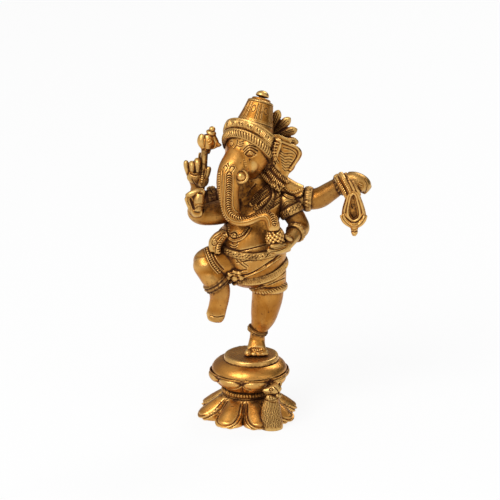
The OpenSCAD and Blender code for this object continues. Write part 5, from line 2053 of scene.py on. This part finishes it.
@dataclass
class Attributes:
    """The axe, the noose and the bowl of sweets that the hands hold."""

    axe: Points = (
        (199, 135.6), (201.4, 133.6), (205.6, 134.8), (208.4, 132.4), (213.6, 133.8), (215.2, 138.8),
        (218.2, 141.8), (221.8, 145), (218, 147), (213.4, 149.2), (208.4, 149.8), (204, 148.8),
        (201.4, 145.4), (199.2, 140.4))
    axe_depth: float = -4.4
    sweets_at: tuple[float, float, float] = (11.9, -33, -19.8)
    sweets: int = 60

    def build(self) -> list[Piece]:
        """Models the three things held.

        Returns:
            The three pieces.
        """
        return [
            Piece(self._axe(), ("axe",), POLISHED),
            Piece(self._noose(), ("noose",), POLISHED),
            Piece(self._sweets(), ("sweet_bowl",), POLISHED)]

    def _axe(self) -> Shape:
        """Models the rounded axe head with its knob, collar and stem.

        Returns:
            The axe.
        """
        depth = self.axe_depth
        lumps = [slab(SIGHT.place([(*spot, depth) for spot in self.axe]), 5.0, (0.1, -1, 0.2))]
        for spots, radii in (
                (((203.6, 158.0), (204.8, 152.0), (207.0, 145.0)), (2.3, 2.4, 2.8)),
                (((202.6, 135.0), (202.4, 141.0), (205.2, 147.0)), (2.4, 3.6, 3.0)),
                (((208.0, 134.4), (208.6, 141.0), (207.6, 148.0)), (2.8, 4.4, 3.2)),
                (((212.6, 136.4), (214.8, 142.0), (217.6, 144.6), (220.6, 145.2)), (2.4, 2.8, 2.0, 0.9)),
                (((201.8, 149.4), (206.0, 150.6), (210.2, 152.2)), (1.4, 1.9, 1.4))):
            lumps.append(finger([(*spot, depth - 0.4) for spot in spots], radii, 20))
        for x, y, wide, tall in (
                (212.3, 129.0, 2.2, 1.9), (211.2, 132.6, 3.6, 1.9), (205.6, 150.8, 3.1, 1.7)):
            spot = SIGHT.place(((x, y, depth),))[0]
            lumps.append(ball(spot, (wide, wide, tall), Matrix.Rotation(0.3, 3, "Y")))
        return cast("axe_casting", lumps, 0.26, 7, [
            groove(0.8, 0.3, (204.4, 135.6), (205.4, 140.4), (204.8, 147)),
            groove(0.8, 0.35, (213.6, 140.4), (214.8, 144), (213.4, 148)),
            ridge(1.2, 0.3, (208.4, 141.2), (210.4, 139.6), (211.4, 142.2), (209.2, 143.6))])

    def _noose(self) -> Shape:
        """Models the noose that hangs over the fist in ridged strands.

        Returns:
            The noose.
        """
        loop = (
            (349.4, 196, -13.2), (347.4, 203, -12), (346, 210, -11.4), (346.4, 216.4, -11.4),
            (349.8, 221.2, -11.6), (354.6, 222.6, -11.8), (359.6, 220, -11.6), (361.6, 214.6, -11.4),
            (360.4, 207.4, -11.6), (358.4, 200.4, -12.4), (356.2, 194.6, -13.4), (352.6, 192.6, -13.8))
        spine = loop_through(SIGHT.place(loop), 10)
        widths = (2.0, 2.3, 2.6, 2.9, 2.9, 2.8, 2.9, 2.9, 2.6, 2.3, 2.0, 1.8)
        rows = np.column_stack((spine, loop_through([(w, 2.1) for w in widths], 10)))

        def rolls(along: Array, angle: Array) -> Array:
            """Height of the fine strands on the front of the loop."""
            return 0.28 * np.cos(angle * 6 + 0 * along) * (np.sin(angle) > 0)
        lumps = [
            extruded("loop", sections(rows, (0, -1, 0.3), 40, True, rolls), True),
            finger((
                (353.8, 221, -11.4), (354.2, 226.4, -11.2), (354.4, 230, -10.8), (354.4, 232.6, -10.6),
                (354.2, 235.6, -10.4)), (4, 3, 2.3, 2.3, 1.2), 24)]
        strands = (
            ((336.8, 178.4, -7.4), (339.6, 183.6, -11.6), (343.6, 190.6, -12.8), (347.4, 197.4, -12.8)),
            ((340.6, 173.8, -6.4), (344, 179.8, -12), (348.4, 187.6, -14), (351.4, 195, -13.8)),
            ((345.6, 173.4, -6.6), (349.4, 180.6, -12.6), (353, 187.8, -14.2), (356, 195, -13.8)),
            ((349.8, 174.4, -7.2), (353.2, 181, -12.8), (356.8, 188.4, -14), (359.4, 195.6, -13.2)))
        rim = [(x, y, -8.4) for x, y, _ in loop]
        lumps.append(slab(SIGHT.place(rim), 1.4, (0.0, -1.0, 0.3), 4))
        sickle = (
            (340.8, 215.2), (344.2, 220.8), (349.4, 224.6), (354, 226.2), (359.6, 224.4), (363.8, 220.2),
            (366.4, 215.2))
        lumps.append(finger([(*spot, -11.6) for spot in sickle], (0.9, 1.6, 1.7, 1.7, 1.7, 1.6, 0.9), 20))
        for strand, radius in zip(strands, (1.75, 1.9, 1.25, 1.35)):
            lumps.append(finger(strand, [radius] * 4, 20))
        crescent = (
            (342.2, 214.8), (345, 219.6), (349.4, 223.8), (354.2, 225.8), (359.6, 223.4), (364.8, 216))
        return cast("noose_casting", lumps, 0.3, 2, [
            ridge(1.4, 0.5, *crescent),
            groove(1.2, 0.5, *[(x * 0.9 + 35.4, y * 0.86 + 28.4) for x, y in crescent]),
            beads(1.4, 0.4, (342.4, 178), (346.4, 185.4), (350.2, 192.4), pitch=1.4),
            rope(1.8, 0.35, (338.6, 181.6), (342, 187.4), (345.6, 193.8), pitch=1.5),
            ridge(1, 0.4, (351.2, 229.6), (354, 230.6), (357.6, 229)),
            groove(1, 0.4, (351.4, 231.4), (354.2, 232.4), (357.6, 230.8))])

    def _sweets(self) -> Shape:
        """Models the heaped sweets as small balls over a low bowl.

        Returns:
            The sweets and their bowl.
        """
        middle = CHEST + np.array(self.sweets_at)
        lumps = [ball(middle, (5.6, 5.4, 5.6)), ball(middle - (0, 0, 2.6), (5.6, 5.4, 3))]
        for k in range(self.sweets):
            high = 1 - 1.55 * (k + 0.5) / self.sweets
            lumps.append(ball(middle + 5.5 * spiral(k, high), (1.25, 1.25, 1.25)))
        return fused("sweet_bowl_heap", lumps, 0.26, 1)


WHITE = (1.0, 1.0, 1.0)


@dataclass
class Studio:
    """The pale floor, the soft lights and the camera."""

    floor_half: float = 4.0
    pale: float = 0.86
    lens: float = 213.97
    aside: float = 1.68
    rise: float = 2.69

    def build(self) -> None:
        """Sets up the floor, the lights, the world and the camera."""
        self._floor()
        self._light("key_light", (-1.0, -1.3, 1.7), 1.1, 30.0)
        self._light("fill_light", (1.7, -1.2, 0.9), 1.2, 5.0)
        self._light("rim_light", (0.9, 1.3, 1.6), 0.9, 12.0)
        self._world()
        self._camera()
        bpy.context.scene.view_settings.view_transform = "Standard"

    def _floor(self) -> None:
        """Lays the floor, white to the eye and to polished metal, with the object's shadow kept."""
        bpy.ops.object.select_all(action="DESELECT")
        bpy.ops.mesh.primitive_plane_add(size=2 * self.floor_half)
        floor = bpy.context.object
        floor.name = "studio_floor"
        paint = bpy.data.materials.new("studio_white")
        paint.use_nodes = True
        paint.node_tree.nodes.clear()
        wires = Wiring(paint.node_tree)
        matt = wires.node("BsdfDiffuse", {"Color": (self.pale, self.pale, self.pale)})
        glow = wires.node("Emission", {"Color": WHITE, "Strength": 1.0})
        path = wires.node("LightPath", {}).outputs
        seen = wires.math("MAXIMUM", path["Is Camera Ray"], path["Is Glossy Ray"])
        seen = wires.math("MAXIMUM", seen, path["Is Transmission Ray"])
        share = wires.math("MULTIPLY", seen, self.pale)
        mix = wires.node("MixShader", {"Fac": share, 1: matt.outputs[0], 2: glow.outputs[0]})
        wires.node("OutputMaterial", {"Surface": mix.outputs[0]})
        floor.data.materials.append(paint)

    @staticmethod
    def _light(name: str, spot: Sequence[float], size: float, power: float) -> None:
        """Hangs one soft square light that faces the object.

        Args:
            name: Name of the light.
            spot: Its place in metres.
            size: Length of its side in metres.
            power: Its power in watts.
        """
        lamp = bpy.data.lights.new(name, "AREA")
        lamp.shape = "SQUARE"
        lamp.size = size
        lamp.energy = power
        light = bpy.data.objects.new(name, lamp)
        bpy.context.scene.collection.objects.link(light)
        light.location = spot
        light.rotation_euler = (Vector((0, 0, 0.12)) - Vector(spot)).to_track_quat("-Z", "Y").to_euler()

    @staticmethod
    def _world() -> None:
        """Makes a soft grey room, brighter towards the upper left."""
        world = bpy.data.worlds.new("soft_room")
        bpy.context.scene.world = world
        world.use_nodes = True
        wires = Wiring(world.node_tree)
        way = wires.node("TexCoord", {}).outputs["Generated"]
        lean = wires.node("VectorMath", {0: way, 1: (-0.55, -0.45, 0.70)}, operation="DOT_PRODUCT")
        room = world.node_tree.nodes["Background"].inputs
        wires.feed(room["Strength"], wires.spread(lean.outputs["Value"], -0.5, 1.0, 0.10, 0.75))
        wires.feed(room["Color"], WHITE)

    def _camera(self) -> None:
        """Places the camera along the line of sight."""
        lens = bpy.data.cameras.new("studio_camera")
        lens.lens = self.lens
        lens.sensor_width = 36.0
        camera = bpy.data.objects.new("studio_camera", lens)
        bpy.context.scene.collection.objects.link(camera)
        spot = SIGHT.eye + np.array((self.aside, 0.0, 0.0)) + SIGHT.up * self.rise
        turn = Matrix(np.stack(((1.0, 0.0, 0.0), SIGHT.up, SIGHT.back), axis=1).tolist())
        camera.matrix_world = Matrix.Translation(Vector(spot) * MM) @ turn.to_4x4()
        bpy.context.scene.camera = camera


def fasteners() -> list[str]:
    """Gives the stud, its washer and its nut, which stay as they are in the frame, their finish.

    Returns:
        The names of the nodes.
    """
    names = ["tie_stud", "stud_washer", "stud_nut"]
    for name in names:
        FASTENER.dress(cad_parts[name])
    return names


# Edges that bend less than this look smooth
SMOOTH_BELOW = math.radians(55)


def main() -> None:
    """Builds the idol's pieces in order, dresses them and sets up the studio."""
    logging.basicConfig(level=logging.INFO, format="%(name)s %(message)s")
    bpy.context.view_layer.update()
    pieces: list[Piece] = []
    for part in (Pedestal(), Mouse(), Legs(), Body(), Head(), Arms(), Attributes()):
        for piece in part.build():
            only(piece.shape)
            bpy.ops.object.shade_smooth_by_angle(angle=SMOOTH_BELOW)
            piece.finish.dress(piece.shape)
            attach(piece.shape, "root")
            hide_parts(*piece.nodes)
            pieces.append(piece)
            faces = len(piece.shape.data.polygons)
            log.info("%s stands for %s, %d faces", piece.shape.name, ", ".join(piece.nodes), faces)
    for name in fasteners():
        log.info("%s keeps its shape", name)
    PatinaAndPaintedLight().lay([piece.shape for piece in pieces])
    Studio().build()


if __name__ == "__main__":
    main()
